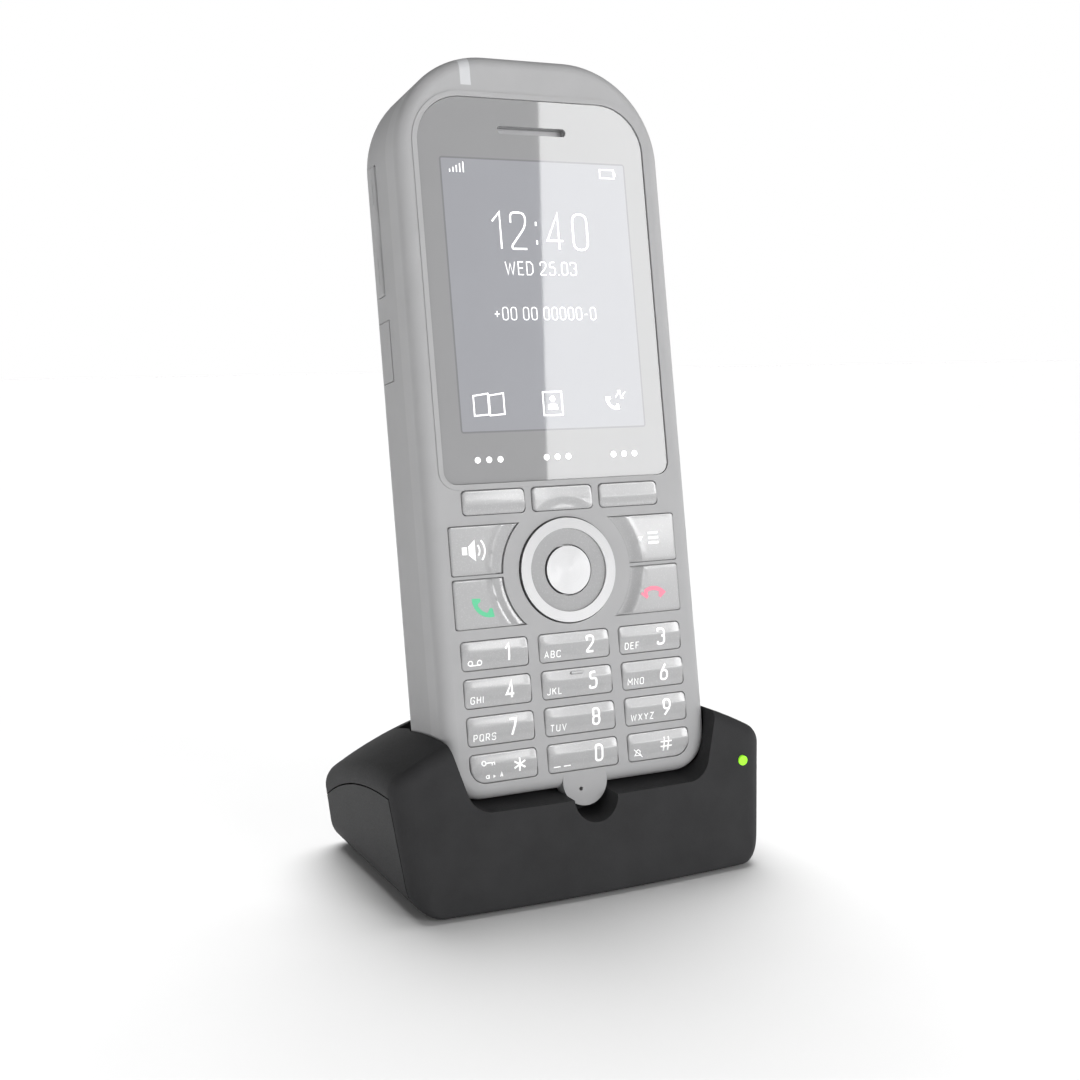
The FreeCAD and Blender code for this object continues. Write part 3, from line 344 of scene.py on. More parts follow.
OWN_LOOKS = {"nav_centre_key": "disc", "rear_housing": "back_shell", "battery_cover": "back_shell",
             "headset_socket_cover": "back_shell", "volume_rocker": "back_shell", "earpiece": "ear",
             "status_light_pipe": "lime"}


def dress_frame(looks):
    """Give every CAD node the look of its slot."""
    for node in frame["nodes"].values():
        for slot in node.material_slots:
            slot.material = looks[slot.material.name.split(".")[0]]


# ------------------------------------------------------------ mesh helpers

def stand(name, mesh, body, look, slot):
    """Make a piece from a mesh drawn flat on the handset."""
    mesh.transform(HANDSET)
    mesh.materials.clear()
    mesh.materials.append(look)
    piece = bpy.data.objects.new(name, mesh)
    bpy.context.scene.collection.objects.link(piece)
    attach(piece, body)
    return piece


def finished(shape, name, smooth_below=32):
    """A mesh from a bmesh, smooth except at edges sharper than that many degrees."""
    bmesh.ops.remove_doubles(shape, verts=shape.verts, dist=1e-4)
    bmesh.ops.recalc_face_normals(shape, faces=shape.faces)
    mesh = bpy.data.meshes.new(name)
    shape.to_mesh(mesh)
    shape.free()
    mesh.shade_smooth()
    mesh.set_sharp_from_angle(angle=math.radians(smooth_below))
    return mesh


def rounded_box(half_u, half_v, radii, grow=0.0, steps=6):
    """Points of a box about the origin; radii are for the corners ++, -+, -- and +-."""
    points = []
    signs = ((1, 1), (-1, 1), (-1, -1), (1, -1))
    for quarter, ((su, sv), radius) in enumerate(zip(signs, radii)):
        radius += grow
        centre = Vector((su * (half_u + grow - radius), sv * (half_v + grow - radius)))
        for step in range(steps + 1):
            angle = math.pi / 2 * (quarter + step / steps)
            points.append(centre + radius * Vector((math.cos(angle), math.sin(angle))))
    return points


def side_ring(side, row, grow=0.0, steps=12):
    """Points of a key beside the ring: three straight edges and an arc about the ring's centre."""
    arc = SIDE_ARC - grow
    near = SIDE_GAP / 2 - grow
    far = SIDE_GAP / 2 + SIDE_HEIGHT + grow
    outer = SIDE_OUTER + grow
    corner = SIDE_CORNER + grow
    points = []
    turns = (((outer - corner, near + corner), -math.pi / 2), ((outer - corner, far - corner), 0))
    for middle, start in turns:
        for step in range(5):
            angle = start + math.pi / 2 * step / 4
            points.append((middle[0] + corner * math.cos(angle), middle[1] + corner * math.sin(angle)))
    for step in range(steps + 1):
        v = far + (near - far) * step / steps
        points.append((math.sqrt(arc * arc - v * v), v))
    placed = [Vector((side * u, NAV_AT + row * v)) for u, v in points]
    return placed if side * row > 0 else placed[::-1]


def loop(shape, points, w):
    return [shape.verts.new((p[0], p[1], w)) for p in points]


def walls(shape, low, high):
    """Faces between two loops of the same length."""
    for i in range(len(low)):
        j = (i + 1) % len(low)
        shape.faces.new((low[i], low[j], high[j], high[i]))


def solid(shape, rings):
    """A closed body through rings of (points, height), with flat ends."""
    loops = [loop(shape, points, w) for points, w in rings]
    for low, high in zip(loops, loops[1:]):
        walls(shape, low, high)
    shape.faces.new(loops[0][::-1])
    shape.faces.new(loops[-1])


def circle(centre, radius, steps=24):
    angles = [2 * math.pi * i / steps for i in range(steps)]
    return [Vector((centre[0] + radius * math.cos(a), centre[1] + radius * math.sin(a))) for a in angles]


def slice_up(shape, low, high, count, normal):
    """Cut the mesh at even steps along one axis, so that it can follow a curved top."""
    for i in range(1, count):
        at = low + (high - low) * i / count
        geometry = shape.verts[:] + shape.edges[:] + shape.faces[:]
        bmesh.ops.bisect_plane(shape, geom=geometry, plane_co=Vector(normal) * at, plane_no=normal)


def key_cap(name, ring, relief, centre, pieces):
    """A key: cap with a shaped top, foot behind the face, and stem to its dome."""
    shape = bmesh.new()
    rings = [(ring(KEY_SPREAD), FOOT_TOP - 0.2), (ring(KEY_SPREAD), KEY_RISE - KEY_EDGE)]
    for step in range(1, 5):
        angle = math.pi / 2 * step / 4
        inset = KEY_EDGE * (1 - math.cos(angle))
        rings.append((ring(KEY_SPREAD - inset), KEY_RISE - KEY_EDGE * (1 - math.sin(angle))))
    solid(shape, rings)
    us = [v.co.x for v in shape.verts]
    vs = [v.co.y for v in shape.verts]
    slice_up(shape, min(us), max(us), pieces[0], (1, 0, 0))
    slice_up(shape, min(vs), max(vs), pieces[1], (0, 1, 0))
    for vert in shape.verts:
        share = (vert.co.z + RELIEF_REACH) / (KEY_RISE + RELIEF_REACH)
        if share > 0:
            vert.co.z += relief(vert.co.x - centre[0], vert.co.y - centre[1]) * share
    foot = bmesh.new()
    solid(foot, [(ring(FOOT_MARGIN), FOOT_LOW), (ring(FOOT_MARGIN), FOOT_TOP)])
    solid(foot, [(circle(centre, STEM_RADIUS), STEM_END), (circle(centre, STEM_RADIUS), FOOT_LOW + 0.2)])
    spare = bpy.data.meshes.new("foot")
    foot.to_mesh(spare)
    foot.free()
    shape.from_mesh(spare)
    bpy.data.meshes.remove(spare)
    mesh = finished(shape, name + "_cap")
    piece = stand(name + "_cap", mesh, name, LOOKS["key_plastic"], "key_plastic")
    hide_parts(name)


def bell(x):
    """A smooth hump of height and half width one."""
    return 0.5 + 0.5 * math.cos(math.pi * max(-1.0, min(1.0, x)))


def ease(x):
    x = max(0.0, min(1.0, x))
    return x * x * (3 - 2 * x)


def number_relief(u, v):
    """A number key: a crest above the middle, falling to its upper edge and to a low shelf."""
    half = NUMBER_HEIGHT / 2
    upper = -0.4 * ease((v - 0.55) / (half - 0.35))
    middle = -0.16 * ease((0.7 - v) / 1.4)
    lower = -0.26 * ease((-0.5 - v) / 1.1)
    return upper + middle + lower


def soft_relief(column):
    """Keys under the display: a crest along the lower part, with a scooped middle key."""
    def relief(u, v):
        upper = -0.2 * ease((v + 0.2) / 2.4)
        lower = -0.3 * ease((-0.4 - v) / 1.3)
        if column == 0:
            inside = SCOOP_RADIUS - math.hypot(u, v + SCOOP_DROP)
            lower = -0.34 * ease((inside + 0.1) / 1.5)
        return upper + lower
    return relief


def side_relief(side, row):
    """Keys beside the ring: flat, with a bead and then a facet that falls towards the ring."""
    def relief(u, v):
        reach = math.hypot(u, v)
        bead = 0.18 * bell((reach - SIDE_CREST - 0.2) / 0.7)
        return bead - 0.12 - 0.75 * ease((SIDE_CREST + 0.1 - reach) / 2.0)
    return relief


def lift(name, shape, body, look, slot, height, relief, thick, bands):
    """Cut a flat mesh into bands, thicken it and lay it on a surface."""
    if bands:
        slice_up(shape, *bands, (0, 1, 0))
    bmesh.ops.triangulate(shape, faces=[face for face in shape.faces if len(face.verts) > 4])
    top = bmesh.ops.extrude_face_region(shape, geom=shape.faces[:])["geom"]
    raised = {item for item in top if isinstance(item, bmesh.types.BMVert)}
    for vert in shape.verts:
        base = height + (relief(vert.co.x, vert.co.y) if relief else 0)
        vert.co.z += base + (thick if vert in raised else -thick)
    mesh = finished(shape, name)
    return stand(name, mesh, body, look, slot)


# Each sign is its width and the lines that draw it, in a box seven high; a line that ends with "o"
# is closed. The corners of the ROUND ones are softened.
SIGNS = {
    "0": (3.6, ["0,0 3.6,0 3.6,7 0,7 o"]),
    "1": (1.9, ["0,5.2 1.9,7 1.9,0"]),
    "2": (3.6, ["0,5 0,7 3.6,7 3.6,4.4 0,0.6 0,0 3.6,0"]),
    "3": (3.6, ["0,5.6 0,7 3.6,7 3.6,3.7 1.4,3.7 3.6,3.7 3.6,0 0,0 0,1.4"]),
    "4": (4.0, ["4,1.7 0,1.7 2.9,7 2.9,0"]),
    "5": (3.6, ["3.4,7 0.3,7 0.1,4 3.6,4.4 3.6,0 0,0 0,1.3"]),
    "6": (3.6, ["3,7 0,3.4 0,0 3.6,0 3.6,4.1 0,4.1"]),
    "7": (3.6, ["0,7 3.6,7 1.2,0"]),
    "8": (3.6, ["0.1,3.7 0,0 3.6,0 3.5,3.7 o", "0.2,3.7 0.2,7 3.4,7 3.4,3.7"]),
    "9": (3.6, ["0.6,0 3.6,3.6 3.6,7 0,7 0,2.9 3.6,2.9"]),
    "A": (4.2, ["0,0 2.1,7 4.2,0", "0.7,2.3 3.5,2.3"]),
    "B": (3.6, ["0,3.7 0,0 2.7,0 3.6,0.9 3.6,2.8 2.7,3.7 0,3.7 0,7 2.5,7 3.3,6.2 3.3,4.5 2.5,3.7"]),
    "C": (3.6, ["3.6,5.6 3.6,7 0,7 0,0 3.6,0 3.6,1.4"]),
    "D": (3.7, ["0,0 2.3,0 3.7,1.5 3.7,5.5 2.3,7 0,7 o"]),
    "E": (3.2, ["3.2,7 0,7 0,0 3.2,0", "0,3.6 2.9,3.6"]),
    "F": (3.2, ["3.2,7 0,7 0,0", "0,3.5 2.9,3.5"]),
    "G": (3.7, ["3.7,5.6 3.7,7 0,7 0,0 3.7,0 3.7,3.4 2,3.4"]),
    "H": (3.6, ["0,0 0,7", "3.6,0 3.6,7", "0,3.6 3.6,3.6"]),
    "I": (0.0, ["0,0 0,7"]),
    "J": (2.8, ["2.8,7 2.8,0 0,0 0,1.4"]),
    "K": (3.7, ["0,0 0,7", "3.6,7 0.3,3.2", "1.4,4.4 3.7,0"]),
    "L": (3.1, ["0,7 0,0 3.1,0"]),
    "M": (4.6, ["0,0 0,7 2.3,2.6 4.6,7 4.6,0"]),
    "N": (3.8, ["0,0 0,7 3.8,0 3.8,7"]),
    "O": (3.7, ["0,0 3.7,0 3.7,7 0,7 o"]),
    "P": (3.5, ["0,0 0,7 2.6,7 3.5,6.1 3.5,3.9 2.6,3 0,3"]),
    "Q": (3.7, ["0,0 3.7,0 3.7,7 0,7 o", "2.3,1.6 4.1,-0.5"]),
    "R": (3.6, ["0,0 0,7 2.6,7 3.5,6.2 3.5,4 2.6,3.2 0,3.2", "1.9,3.2 3.6,0"]),
    "S": (3.6, ["3.6,5.7 3.6,7 0,7 0,3.6 3.6,3.6 3.6,0 0,0 0,1.3"]),
    "T": (3.8, ["0,7 3.8,7", "1.9,7 1.9,0"]),
    "U": (3.6, ["0,7 0,0 3.6,0 3.6,7"]),
    "V": (4.0, ["0,7 2,0 4,7"]),
    "W": (5.8, ["0,7 1.4,0 2.9,6 4.4,0 5.8,7"]),
    "X": (3.9, ["0,0 3.9,7", "0,7 3.9,0"]),
    "Y": (4.0, ["0,7 2,3.2 4,7", "2,3.2 2,0"]),
    "Z": (3.6, ["0,7 3.6,7 0,0 3.6,0"]),
    "+": (3.4, ["0,3.3 3.4,3.3", "1.7,1.6 1.7,5"]),
    "-": (2.2, ["0,3 2.2,3"]),
    ".": (0.0, ["0,0.35 0,-0.35"]),
    ":": (0.0, ["0,0.9 0,1.7", "0,4.5 0,5.3"]),
    " ": (0.6, []),
}
ROUND = set("0235689CGJOQSU")

# strokes that cross lie at slightly different heights, in millimetres
LAYER = 0.004
STROKE_RISE = 0.0004


def softened(points, radius, closed, steps=4):
    """A line with its square corners rounded off."""
    count = len(points)
    smooth = []
    for i, point in enumerate(points):
        if not closed and i in (0, count - 1):
            smooth.append(point)
            continue
        before = points[i - 1] - point
        after = points[(i + 1) % count] - point
        reach = min(radius, before.length * 0.49, after.length * 0.49)
        start = point + before.normalized() * reach
        end = point + after.normalized() * reach
        for step in range(steps + 1):
            t = step / steps
            smooth.append(start * (1 - t) ** 2 + point * 2 * t * (1 - t) + end * t * t)
    return smooth


def ribbon(points, width, closed=False):
    """One outline as wide as the stroke along a line, with mitred corners, as a list of quads."""
    line = [Vector(point[:2]) for point in points]
    line = [p for i, p in enumerate(line) if i == 0 or (p - line[i - 1]).length > 1e-5]
    if closed and (line[0] - line[-1]).length < 1e-5:
        line.pop()
    count = len(line)
    edges = []
    for i, point in enumerate(line):
        ahead = line[(i + 1) % count] - point if closed or i < count - 1 else point - line[i - 1]
        behind = point - line[i - 1] if closed or i else ahead
        across = Vector((-behind.y, behind.x)).normalized() + Vector((-ahead.y, ahead.x)).normalized()
        if across.length < 0.1:
            across = Vector((-ahead.y, ahead.x))
        across.normalize()
        slant = max(0.5, across.dot(Vector((-ahead.y, ahead.x)).normalized()))
        reach = across * width / 2 / slant
        edges.append([(*side, i * STROKE_RISE) for side in (point - reach, point + reach)])
    quads = []
    for i in range(count if closed else count - 1):
        near, far = edges[i], edges[(i + 1) % count]
        quads.append([near[0], far[0], far[1], near[1]])
    return quads


def lettered(text, height, left, low, weight, narrow=0.9, gap=1.7, corner=1.5, middle=False):
    """Signs of that cap height, drawn with strokes, from their lower left or about their middle."""
    scale = (height - weight) / 7
    across = scale * narrow
    widths = [SIGNS[sign][0] * across for sign in text]
    length = sum(widths) + (len(text) - 1) * (gap * across + weight) + weight
    u = (left - length / 2 if middle else left) + weight / 2
    v = low + weight / 2
    marks = []
    for sign, wide in zip(text, widths):
        for line in SIGNS[sign][1]:
            closed = line.endswith("o")
            pairs = [pair.split(",") for pair in line.rstrip(" o").split()]
            points = [Vector((u + float(x) * across, v + float(y) * scale)) for x, y in pairs]
            if sign in ROUND:
                points = softened(points, corner * scale, closed)
            marks.append(ribbon(points, weight, closed))
        u += wide + gap * across + weight
    return marks


def lettering(name, marks, body, look, slot, height, relief=None, bands=None, thick=0.03):
    """Marks on one piece; each mark is a list of quads and lies a little above the one before it."""
    shape = bmesh.new()
    for order, quads in enumerate(marks):
        for points in quads:
            corners = [(*p[:2], order % 3 * LAYER + sum(p[2:])) for p in points]
            face = shape.faces.new([shape.verts.new(corner) for corner in corners])
            face.normal_update()
            if face.normal.z < 0:
                face.normal_flip()
    bmesh.ops.remove_doubles(shape, verts=shape.verts, dist=1e-5)
    return lift(name, shape, body, look, slot, height, relief, thick, bands)


def arc(centre, radius, start, end, width, steps=12):
    """A stroke along an arc, in degrees."""
    angles = [math.radians(start + (end - start) * i / steps) for i in range(steps + 1)]
    points = [(centre[0] + radius * math.cos(a), centre[1] + radius * math.sin(a)) for a in angles]
    return ribbon(points, width, abs(end - start) >= 360)


def disc(centre, radius, steps=20):
    return [circle(centre, radius, steps)]


def receiver(centre, size, tilt):
    """A telephone receiver: a bowed grip that widens into a pad at each end."""
    turn = Matrix.Rotation(math.radians(tilt), 2)
    upper = []
    lower = []
    for step in range(25):
        t = step / 12 - 1
        pad = ease((abs(t) - 0.52) / 0.16)
        angle = math.radians(90 - 52 * t)
        spine = Vector((math.cos(angle), math.sin(angle))) * size - Vector((0, 0.72 * size))
        out = Vector((math.cos(angle), math.sin(angle)))
        upper.append(turn @ (spine + out * 0.13 * size) + Vector(centre))
        lower.append(turn @ (spine - out * size * (0.13 + 0.27 * pad)) + Vector(centre))
    return [[lower[i], lower[i + 1], upper[i + 1], upper[i]] for i in range(24)]


# -------------------------------------------------------------------- keys

ROWS = {"123": 3, "456": 2, "789": 1, "*0#": 0}
KEY_NAMES = {"*": "star", "#": "hash"}
LETTERS = {"2": "ABC", "3": "DEF", "4": "GHI", "5": "JKL", "6": "MNO", "7": "PQRS", "8": "TUV", "9": "WXYZ"}
INKS = {"call_key": "green_ink", "end_key": "red_ink"}

DIGIT_HEIGHT = 3.55
DIGIT_STROKE = 0.44
LETTER_HEIGHT = 1.42
LETTER_STROKE = 0.17
SIGN_STROKE = 0.22
STAR_ARM = 1.35


def star_marks(centre, left, low):
    """The star, and the small key and letter-case signs of its second uses."""
    middle = Vector((centre[0] + 3.2, centre[1]))
    marks = []
    for angle in (90, 30, -30):
        arm = Vector((math.cos(math.radians(angle)), math.sin(math.radians(angle)))) * STAR_ARM
        marks.append(ribbon([middle - arm, middle + arm], 0.36))
    u, v = left + 1.6, centre[1] + 1.05
    marks.append(arc((u, v), 0.42, 0, 360, SIGN_STROKE, 16))
    marks.append(ribbon([(u + 0.5, v), (u + 2.3, v)], SIGN_STROKE))
    marks.append(ribbon([(u + 1.7, v - 0.05), (u + 1.7, v - 0.55)], SIGN_STROKE))
    marks.append(ribbon([(u + 2.2, v - 0.05), (u + 2.2, v - 0.5)], SIGN_STROKE))
    marks.append(arc((left + 2.3, low + 0.32), 0.3, 0, 360, LETTER_STROKE, 12))
    marks.append(ribbon([(left + 2.65, low + 0.7), (left + 2.65, low - 0.05)], LETTER_STROKE))
    marks.append([[(left + 3.5, low + 0.6), (left + 3.5, low), (left + 4.05, low + 0.3)]])
    marks += lettered("A", 1.05, left + 4.9, low - 0.05, 0.2)
    return marks


def hash_marks(centre, left, low):
    """The hash sign and the small crossed bell."""
    middle = Vector((centre[0] + 1.6, centre[1]))
    marks = []
    for shift in (-0.48, 0.48):
        upright = [(shift - 0.14, -1.4), (shift + 0.14, 1.4)]
        level = [(-1.3, shift), (1.3, shift)]
        for line in (upright, level):
            marks.append(ribbon([middle + Vector(p) for p in line], 0.3))
    at = Vector((left + 1.0, low + 0.75))
    hood = [(-0.75, -0.45), (-0.45, -0.1), (-0.45, 0.4), (0, 0.75), (0.45, 0.4), (0.45, -0.1), (0.75, -0.45)]
    marks.append(ribbon([at + Vector(p) for p in hood], LETTER_STROKE, True))
    marks.append(ribbon([at + Vector((-0.95, 0.85)), at + Vector((1.0, -0.85))], LETTER_STROKE))
    return marks


def key_marks(sign, centre, width):
    """Digit at the right and small letters or a symbol at the lower left of a number key."""
    left = centre[0] - width / 2 + (1.05 if centre[0] else 0.9)
    low = centre[1] - 1.95
    if sign == "*":
        return star_marks(centre, left, low)
    if sign == "#":
        return hash_marks(centre, left, low)
    digit_u = centre[0] + (3.4 if centre[0] == 0 else 2.45)
    digit_low = centre[1] - DIGIT_HEIGHT / 2 + 0.1
    marks = lettered(sign, DIGIT_HEIGHT, digit_u, digit_low, DIGIT_STROKE, middle=True)
    if sign in LETTERS:
        marks += lettered(LETTERS[sign], LETTER_HEIGHT, left, low, LETTER_STROKE, 1.12, 1.9)
    elif sign == "1":
        for shift in (0.6, 2.5):
            marks.append(arc((left + shift, low + 0.6), 0.45, 0, 360, SIGN_STROKE, 16))
        marks.append(ribbon([(left + 0.6, low + 0.15), (left + 2.5, low + 0.15)], SIGN_STROKE))
    elif sign == "0":
        for shift in (0.1, 2.3):
            marks.append(ribbon([(left + shift, low + 0.3), (left + shift + 1.5, low + 0.3)], 0.2))
    return marks


def number_keys():
    for signs, row in ROWS.items():
        for column, sign in enumerate(signs, start=-1):
            name = "key_" + KEY_NAMES.get(sign, sign)
            centre = Vector((column * NUMBER_COLUMN, NUMBER_LOW + row * NUMBER_PITCH))
            width = NUMBER_WIDTHS[column]
            radii = [NUMBER_CORNER] * 4
            if row == 0 and column:
                radii[2 if column < 0 else 3] = STAR_CORNER

            def ring(grow, centre=centre, width=width, radii=radii):
                return [centre + p for p in rounded_box(width / 2, NUMBER_HEIGHT / 2, radii, grow)]

            key_cap(name, ring, number_relief, centre, (8, 16))
            half = NUMBER_HEIGHT / 2

            def on_top(u, v, centre=centre):
                return number_relief(u - centre[0], v - centre[1])

            bands = (centre[1] - half, centre[1] + half, 20)
            lettering(name + "_marks", key_marks(sign, centre, width), name, LOOKS["ink"], "key_plastic",
                      KEY_RISE, on_top, bands)
    touch_nib()


def touch_nib():
    """The small raised bar that fingers find on the middle key."""
    centre = Vector((0, NUMBER_LOW + 2 * NUMBER_PITCH + 1.9))
    shape = bmesh.new()
    rings = [(0.0, 0.05), (0.0, 0.42), (-0.08, 0.52), (-0.2, 0.56)]
    solid(shape, [([centre + p for p in rounded_box(1.4, 0.3, (0.29,) * 4, grow)], w) for grow, w in rings])
    stand("key_5_nib", finished(shape, "key_5_nib"), "key_5", LOOKS["key_plastic"], "key_plastic")


def soft_keys():
    for column, side in enumerate(("left", "middle", "right"), start=-1):
        centre = Vector((column * SOFT_PITCH, SOFT_AT))

        def ring(grow, centre=centre):
            corners = (SOFT_CORNER,) * 4
            return [centre + p for p in rounded_box(SOFT_SIZE[0] / 2, SOFT_SIZE[1] / 2, corners, grow)]

        key_cap("soft_key_" + side, ring, soft_relief(column), centre, (18, 16))


def rocker():
    """The volume rocker on the left side: square-ended, with a bead along each half."""
    shape = bmesh.new()
    # drawn lying down: x up the handset, y out of its face, z out of its side
    rise = ROCKER_BACK - ROCKER_FACE
    rings = [(0.0, 0.0), (0.0, rise - 0.35), (-0.1, rise - 0.12), (-0.3, rise)]
    solid(shape, [(rounded_box(*ROCKER_HALF, (0.45,) * 4, grow), high) for grow, high in rings])
    slice_up(shape, -ROCKER_HALF[0], ROCKER_HALF[0], 26, (1, 0, 0))
    for vert in shape.verts:
        if vert.co.z > rise - 0.2:
            vert.co.z -= 0.14 * bell(vert.co.x / 4.5)
    foot = rounded_box(ROCKER_HALF[0] - 1, ROCKER_HALF[1] - 0.2, (0.2,) * 4)
    solid(shape, [(foot, -0.7), (foot, 0.02)])
    for end in (-1, 1):
        bead = [Vector((end * 8.0, 0)) + p for p in rounded_box(2.6, 0.22, (0.2,) * 4)]
        solid(shape, [(bead, rise - 0.1), (bead, rise + 0.05)])
    for vert in shape.verts:
        x, y, z = vert.co
        vert.co = (ROCKER_BACK - z, ROCKER_AT[0] + x, ROCKER_AT[1] + y)
    mesh = finished(shape, "rocker_cap")
    piece = stand("rocker_cap", mesh, "volume_rocker", LOOKS["back_shell"], "key_plastic")
    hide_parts("volume_rocker")


def side_keys():
    for name, (side, row) in SIDE_KEYS.items():
        relief = side_relief(side, row)
        half = (SIDE_GAP + SIDE_HEIGHT) / 2
        stem = Vector((side * SIDE_STEM, NAV_AT + row * half))

        def about_ring(u, v, stem=stem, relief=relief):
            return relief(u + stem[0], v + stem[1] - NAV_AT)

        def ring(grow, side=side, row=row):
            return side_ring(side, row, grow)

        key_cap(name, ring, about_ring, stem, (22, 12))

        def flat_top(u, v, relief=relief):
            return relief(u, v - NAV_AT)

        bands = (stem[1] - 3, stem[1] + 3, 8)
        ink = LOOKS[INKS.get(name, "ink")]
        lettering(name + "_marks", side_marks(name), name, ink, "key_plastic", KEY_RISE, flat_top, bands)


def side_marks(name):
    """Symbols of the keys beside the ring."""
    if name == "speaker_key":
        u, v = -20.0, 47.75
        return [[[(u - 2.3, v - 0.75), (u - 1.25, v - 0.75), (u - 1.25, v + 0.75), (u - 2.3, v + 0.75)]],
                [[(u - 0.95, v - 0.85), (u + 0.45, v - 2.1), (u + 0.45, v + 2.1), (u - 0.95, v + 0.85)]],
                arc((u - 0.4, v), 1.75, -36, 36, 0.34), arc((u - 0.4, v), 2.85, -42, 42, 0.38)]
    if name == "menu_key":
        u, v = 19.6, 47.75
        marks = [ribbon([(u - 1.2, v + step), (u + 1.2, v + step)], 0.5) for step in (-1, 0, 1)]
        marks.append([[(u - 3.5, v + 0.4), (u - 2.9, v - 0.55), (u - 2.3, v + 0.4)]])
        return marks
    if name == "call_key":
        return [receiver((-18.9, 36.6), 3.3, 140)]
    return [receiver((18.6, 36.6), 3.3, 0)]


# ------------------------------------------------------- window and display

# thickness of the thinnest layers on the window, in millimetres
FILM = 0.006


def display_marks():
    """What the display shows: signal, charge, a clock, a date, a number line and three symbols."""
    marks = []
    for step in range(5):
        u = -18.3 + step * 0.72
        top = 121.9 + 0.38 * step
        marks.append([[(u - 0.12, 121.3), (u + 0.12, 121.3), (u + 0.12, top), (u - 0.12, top)]])
    marks.append(ribbon([(14.5, 121.3), (17.7, 121.3), (17.7, 123.0), (14.5, 123.0)], 0.24, True))
    marks.append(ribbon([(17.95, 121.75), (17.95, 122.55)], 0.26))
    marks += lettered("12:40", 7.6, 0.15, 106.3, 0.38, 0.86, 2.15, 1.9, True)
    marks += lettered("WED 25.03", 2.75, -0.35, 101.25, 0.21, 0.96, 1.5, 1.6, True)
    marks += lettered("+00 00 00000-0", 2.65, -0.15, 92.3, 0.19, 0.9, 1.5, 1.7, True)
    for left in (-17.2, -13.9):
        marks.append(ribbon([(left, 73.7), (left + 3.1, 73.9), (left + 3.1, 78.0), (left, 77.6)], 0.3, True))
    marks.append(ribbon([(-2.3, 73.4), (1.8, 73.4), (1.8, 78.0), (-2.3, 78.0)], 0.3, True))
    marks.append(disc((-0.25, 76.65), 0.62, 16))
    marks.append([[(-1.4, 74.5), (0.9, 74.5), (0.75, 75.35), (0.25, 75.75), (-0.75, 75.75), (-1.25, 75.35)]])
    marks.append(receiver((13.1, 75.4), 2.3, 140))
    for tail, tip in (((13.9, 76.6), (15.0, 77.9)), ((16.2, 77.7), (15.1, 76.4))):
        back = (Vector(tail) - Vector(tip)) * 0.55
        marks.append(ribbon([tail, tip], 0.22))
        marks.append(ribbon([(tip[0] + back.x, tip[1]), tip, (tip[0], tip[1] + back.y)], 0.22))
    return marks


def window():
    """The picture behind the window, a thin darker ring round it that is painted shade for the picture's
    depth behind the glass, and the marks on both.
    """
    middle = (VIEW_LOW + VIEW_HIGH) / 2
    half = (VIEW_HIGH - VIEW_LOW) / 2

    def frame_ring(grow):
        return [Vector((0, middle)) + p for p in rounded_box(VIEW_HALF, half, (0.25,) * 4, grow, 3)]

    # the wider, darker ring under the picture is painted shade for its depth behind the glass
    for name, grow, rise in (("picture_edge", 0.35, FILM), ("picture", 0.0, 2 * FILM)):
        shape = bmesh.new()
        solid(shape, [(frame_ring(grow), LENS_TOP - 0.02), (frame_ring(grow), LENS_TOP + rise)])
        stand(name, finished(shape, name), "handset", LOOKS[name], "screen")
    lit = LOOKS["lit_mark"]
    lettering("picture_marks", display_marks(), "handset", lit, "screen", LENS_TOP + 0.016, thick=FILM)
    dots = [disc((u + step * 2.4, 65.1), 0.62) for u in (-14.9, -0.15, 14.8) for step in (-1, 0, 1)]
    lettering("window_dots", dots, "handset", lit, "window", LENS_TOP + 0.004, thick=FILM)


# --------------------------------------------------------- light and setting

# ends of the mirrored panel's straight edge on the window, its far edge, and how far off it stands
GLARE_TOP = (2.2, 139.0)
GLARE_LOW = (-2.9, 58.0)
GLARE_OUTER = 32.0
GLARE_REACH = 3.0
GLARE_LEVEL = 9.6

# light of the surroundings on everything but the camera, from level with the object to overhead
SKY = ((0.0, 1.0), (0.4, 0.34), (1.0, 0.06))
AIM = Vector((0, -0.01, 0.05))
FLOOR_REACH = 6.0
SUN_POWER = 5.1
SUN_SIZE = 1.0
SUN_TILT = (math.radians(-29), math.radians(13), 0)


def emitter(name, corners, strength):
    """A bright panel that only mirrors in glossy surfaces."""
    mesh = bpy.data.meshes.new(name)
    mesh.from_pydata(corners, [], [(0, 1, 2, 3)])
    look = Look(name)
    look.set("Base Color", (0, 0, 0, 1))
    look.set("Emission Color", (1, 1, 1, 1))
    look.set("Emission Strength", strength)
    mesh.materials.append(look.material)
    panel = bpy.data.objects.new(name, mesh)
    bpy.context.scene.collection.objects.link(panel)
    panel.visible_camera = False
    panel.visible_diffuse = False
    panel.visible_shadow = False
    panel.visible_transmission = False
    return panel


def window_panel():
    """The studio panel whose straight edge mirrors down the middle of the window."""
    face = HANDSET @ Vector((0, 98, LENS_TOP))
    outward = (HANDSET.to_3x3() @ Vector((0, 0, 1))).normalized()
    mirrored = CAMERA_AT - 2 * (CAMERA_AT - face).dot(outward) * outward
    outline = [GLARE_TOP, GLARE_LOW, (GLARE_OUTER, GLARE_LOW[1]), (GLARE_OUTER, GLARE_TOP[1])]
    corners = [mirrored + GLARE_REACH * (HANDSET @ Vector((u, v, LENS_TOP)) - mirrored) for u, v in outline]
    panel = emitter("window_panel", corners, GLARE_LEVEL)
    panes = [bpy.data.objects[name] for name in ("picture", "picture_edge", "picture_marks", "window_dots")]
    light_only(panel, "window_only", panes + [frame["nodes"]["display_window"]])


def light_only(lamp, name, pieces):
    """Let a light fall on these pieces alone."""
    lit = bpy.data.collections.new(name)
    for piece in pieces:
        lit.objects.link(piece)
    lamp.light_linking.receiver_collection = lit


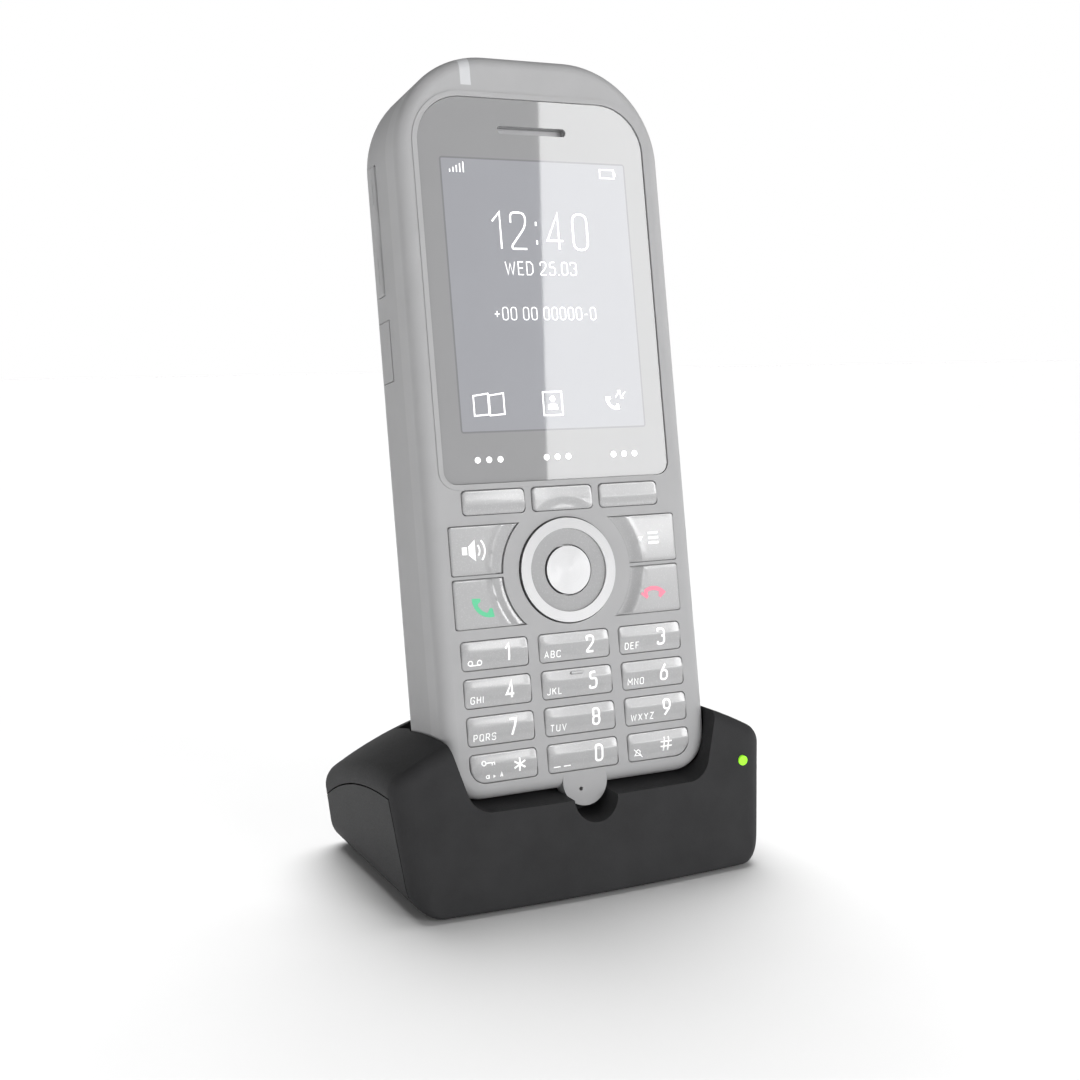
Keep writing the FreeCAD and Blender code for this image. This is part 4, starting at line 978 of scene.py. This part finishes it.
def area(name, at, aim, size, power):
    """A soft box in metres and watts, turned to face its aim."""
    data = bpy.data.lights.new(name, "AREA")
    data.shape = "RECTANGLE"
    data.size, data.size_y = size
    data.energy = power
    lamp = bpy.data.objects.new(name, data)
    lamp.location = at
    lamp.rotation_euler = (Vector(aim) - Vector(at)).to_track_quat("-Z", "Y").to_euler()
    bpy.context.scene.collection.objects.link(lamp)
    return lamp


def studio():
    """A white world for the camera, a softer one for light, and three soft boxes."""
    world = bpy.data.worlds.new("studio")
    world.use_nodes = True
    tree = world.node_tree
    nodes = tree.nodes
    background = nodes["Background"]
    place = nodes.new("ShaderNodeTexCoord")
    split = nodes.new("ShaderNodeSeparateXYZ")
    ramp = nodes.new("ShaderNodeValToRGB")
    tree.links.new(place.outputs["Generated"], split.inputs["Vector"])
    tree.links.new(split.outputs["Z"], ramp.inputs["Fac"])
    elements = ramp.color_ramp.elements
    elements.new(0.5)
    for element, (position, level) in zip(elements, SKY):
        element.position = position
        element.color = (level, level, level, 1)
    seen = nodes.new("ShaderNodeLightPath")
    mix = nodes.new("ShaderNodeMix")
    mix.data_type = "RGBA"
    tree.links.new(seen.outputs["Is Camera Ray"], mix.inputs["Factor"])
    tree.links.new(ramp.outputs["Color"], mix.inputs["A"])
    mix.inputs["B"].default_value = (1.0, 1.0, 1.0, 1)
    tree.links.new(mix.outputs["Result"], background.inputs["Color"])
    background.inputs["Strength"].default_value = 1.0
    bpy.context.scene.world = world
    front_box = area("front_box", (0.35, -0.85, 0.3), (0, 0, 0.06), (0.5, 0.5), 4.3)
    front_box.visible_glossy = False
    sheen = area("key_sheen", AIM + Vector((0.53, -0.69, 0.5)), AIM, (0.44, 0.74), 9.0)
    sheen.visible_diffuse = False
    beside = [name + "_cap" for name in SIDE_KEYS]
    soft = ["soft_key_" + side + "_cap" for side in ("left", "middle", "right")]
    numbers = [piece.name for piece in bpy.data.objects if piece.name.startswith("key_")]
    light_only(sheen, "keys_only", [bpy.data.objects[name] for name in beside + soft + numbers])
    ring_light = area("ring_light", AIM + Vector((0.44, -0.86, 0.16)), AIM, (0.16, 0.4), 0.36)
    ring_light.visible_diffuse = False
    metal = [frame["nodes"][name] for name in ("nav_trim_ring", "nav_centre_key")]
    light_only(ring_light, "metal_only", metal)


def floor():
    """A plain pale floor, with a broad sun of its own so that it fades into the background."""
    mesh = bpy.data.meshes.new("floor")
    corners = [(x * FLOOR_REACH, y * FLOOR_REACH, 0) for x, y in ((-1, -1), (1, -1), (1, 1), (-1, 1))]
    mesh.from_pydata(corners, [], [(0, 1, 2, 3)])
    look = Look("floor_paper")
    pale = look.ramp(look.noise(40.0), [(0.3, (0.6, 0.6, 0.6, 1)), (0.7, (0.61, 0.61, 0.61, 1))])
    look.join(pale, look.surface, "Base Color")
    look.set("Roughness", 0.9)
    look.set("Specular IOR Level", 0.1)
    mesh.materials.append(look.material)
    ground = bpy.data.objects.new("floor", mesh)
    bpy.context.scene.collection.objects.link(ground)
    sun_data = bpy.data.lights.new("floor_sun", "SUN")
    sun_data.energy = SUN_POWER
    sun_data.angle = SUN_SIZE
    sun = bpy.data.objects.new("floor_sun", sun_data)
    sun.rotation_euler = Euler(SUN_TILT)
    bpy.context.scene.collection.objects.link(sun)
    light_only(sun, "floor_only", [ground])


make_camera()
bpy.context.scene.view_settings.view_transform = "Standard"
LOOKS = make_materials()
dress_frame(LOOKS)
for node_name, look_name in OWN_LOOKS.items():
    frame["nodes"][node_name].material_slots[0].material = LOOKS[look_name]
number_keys()
soft_keys()
side_keys()
rocker()
window()
window_panel()
studio()
floor()
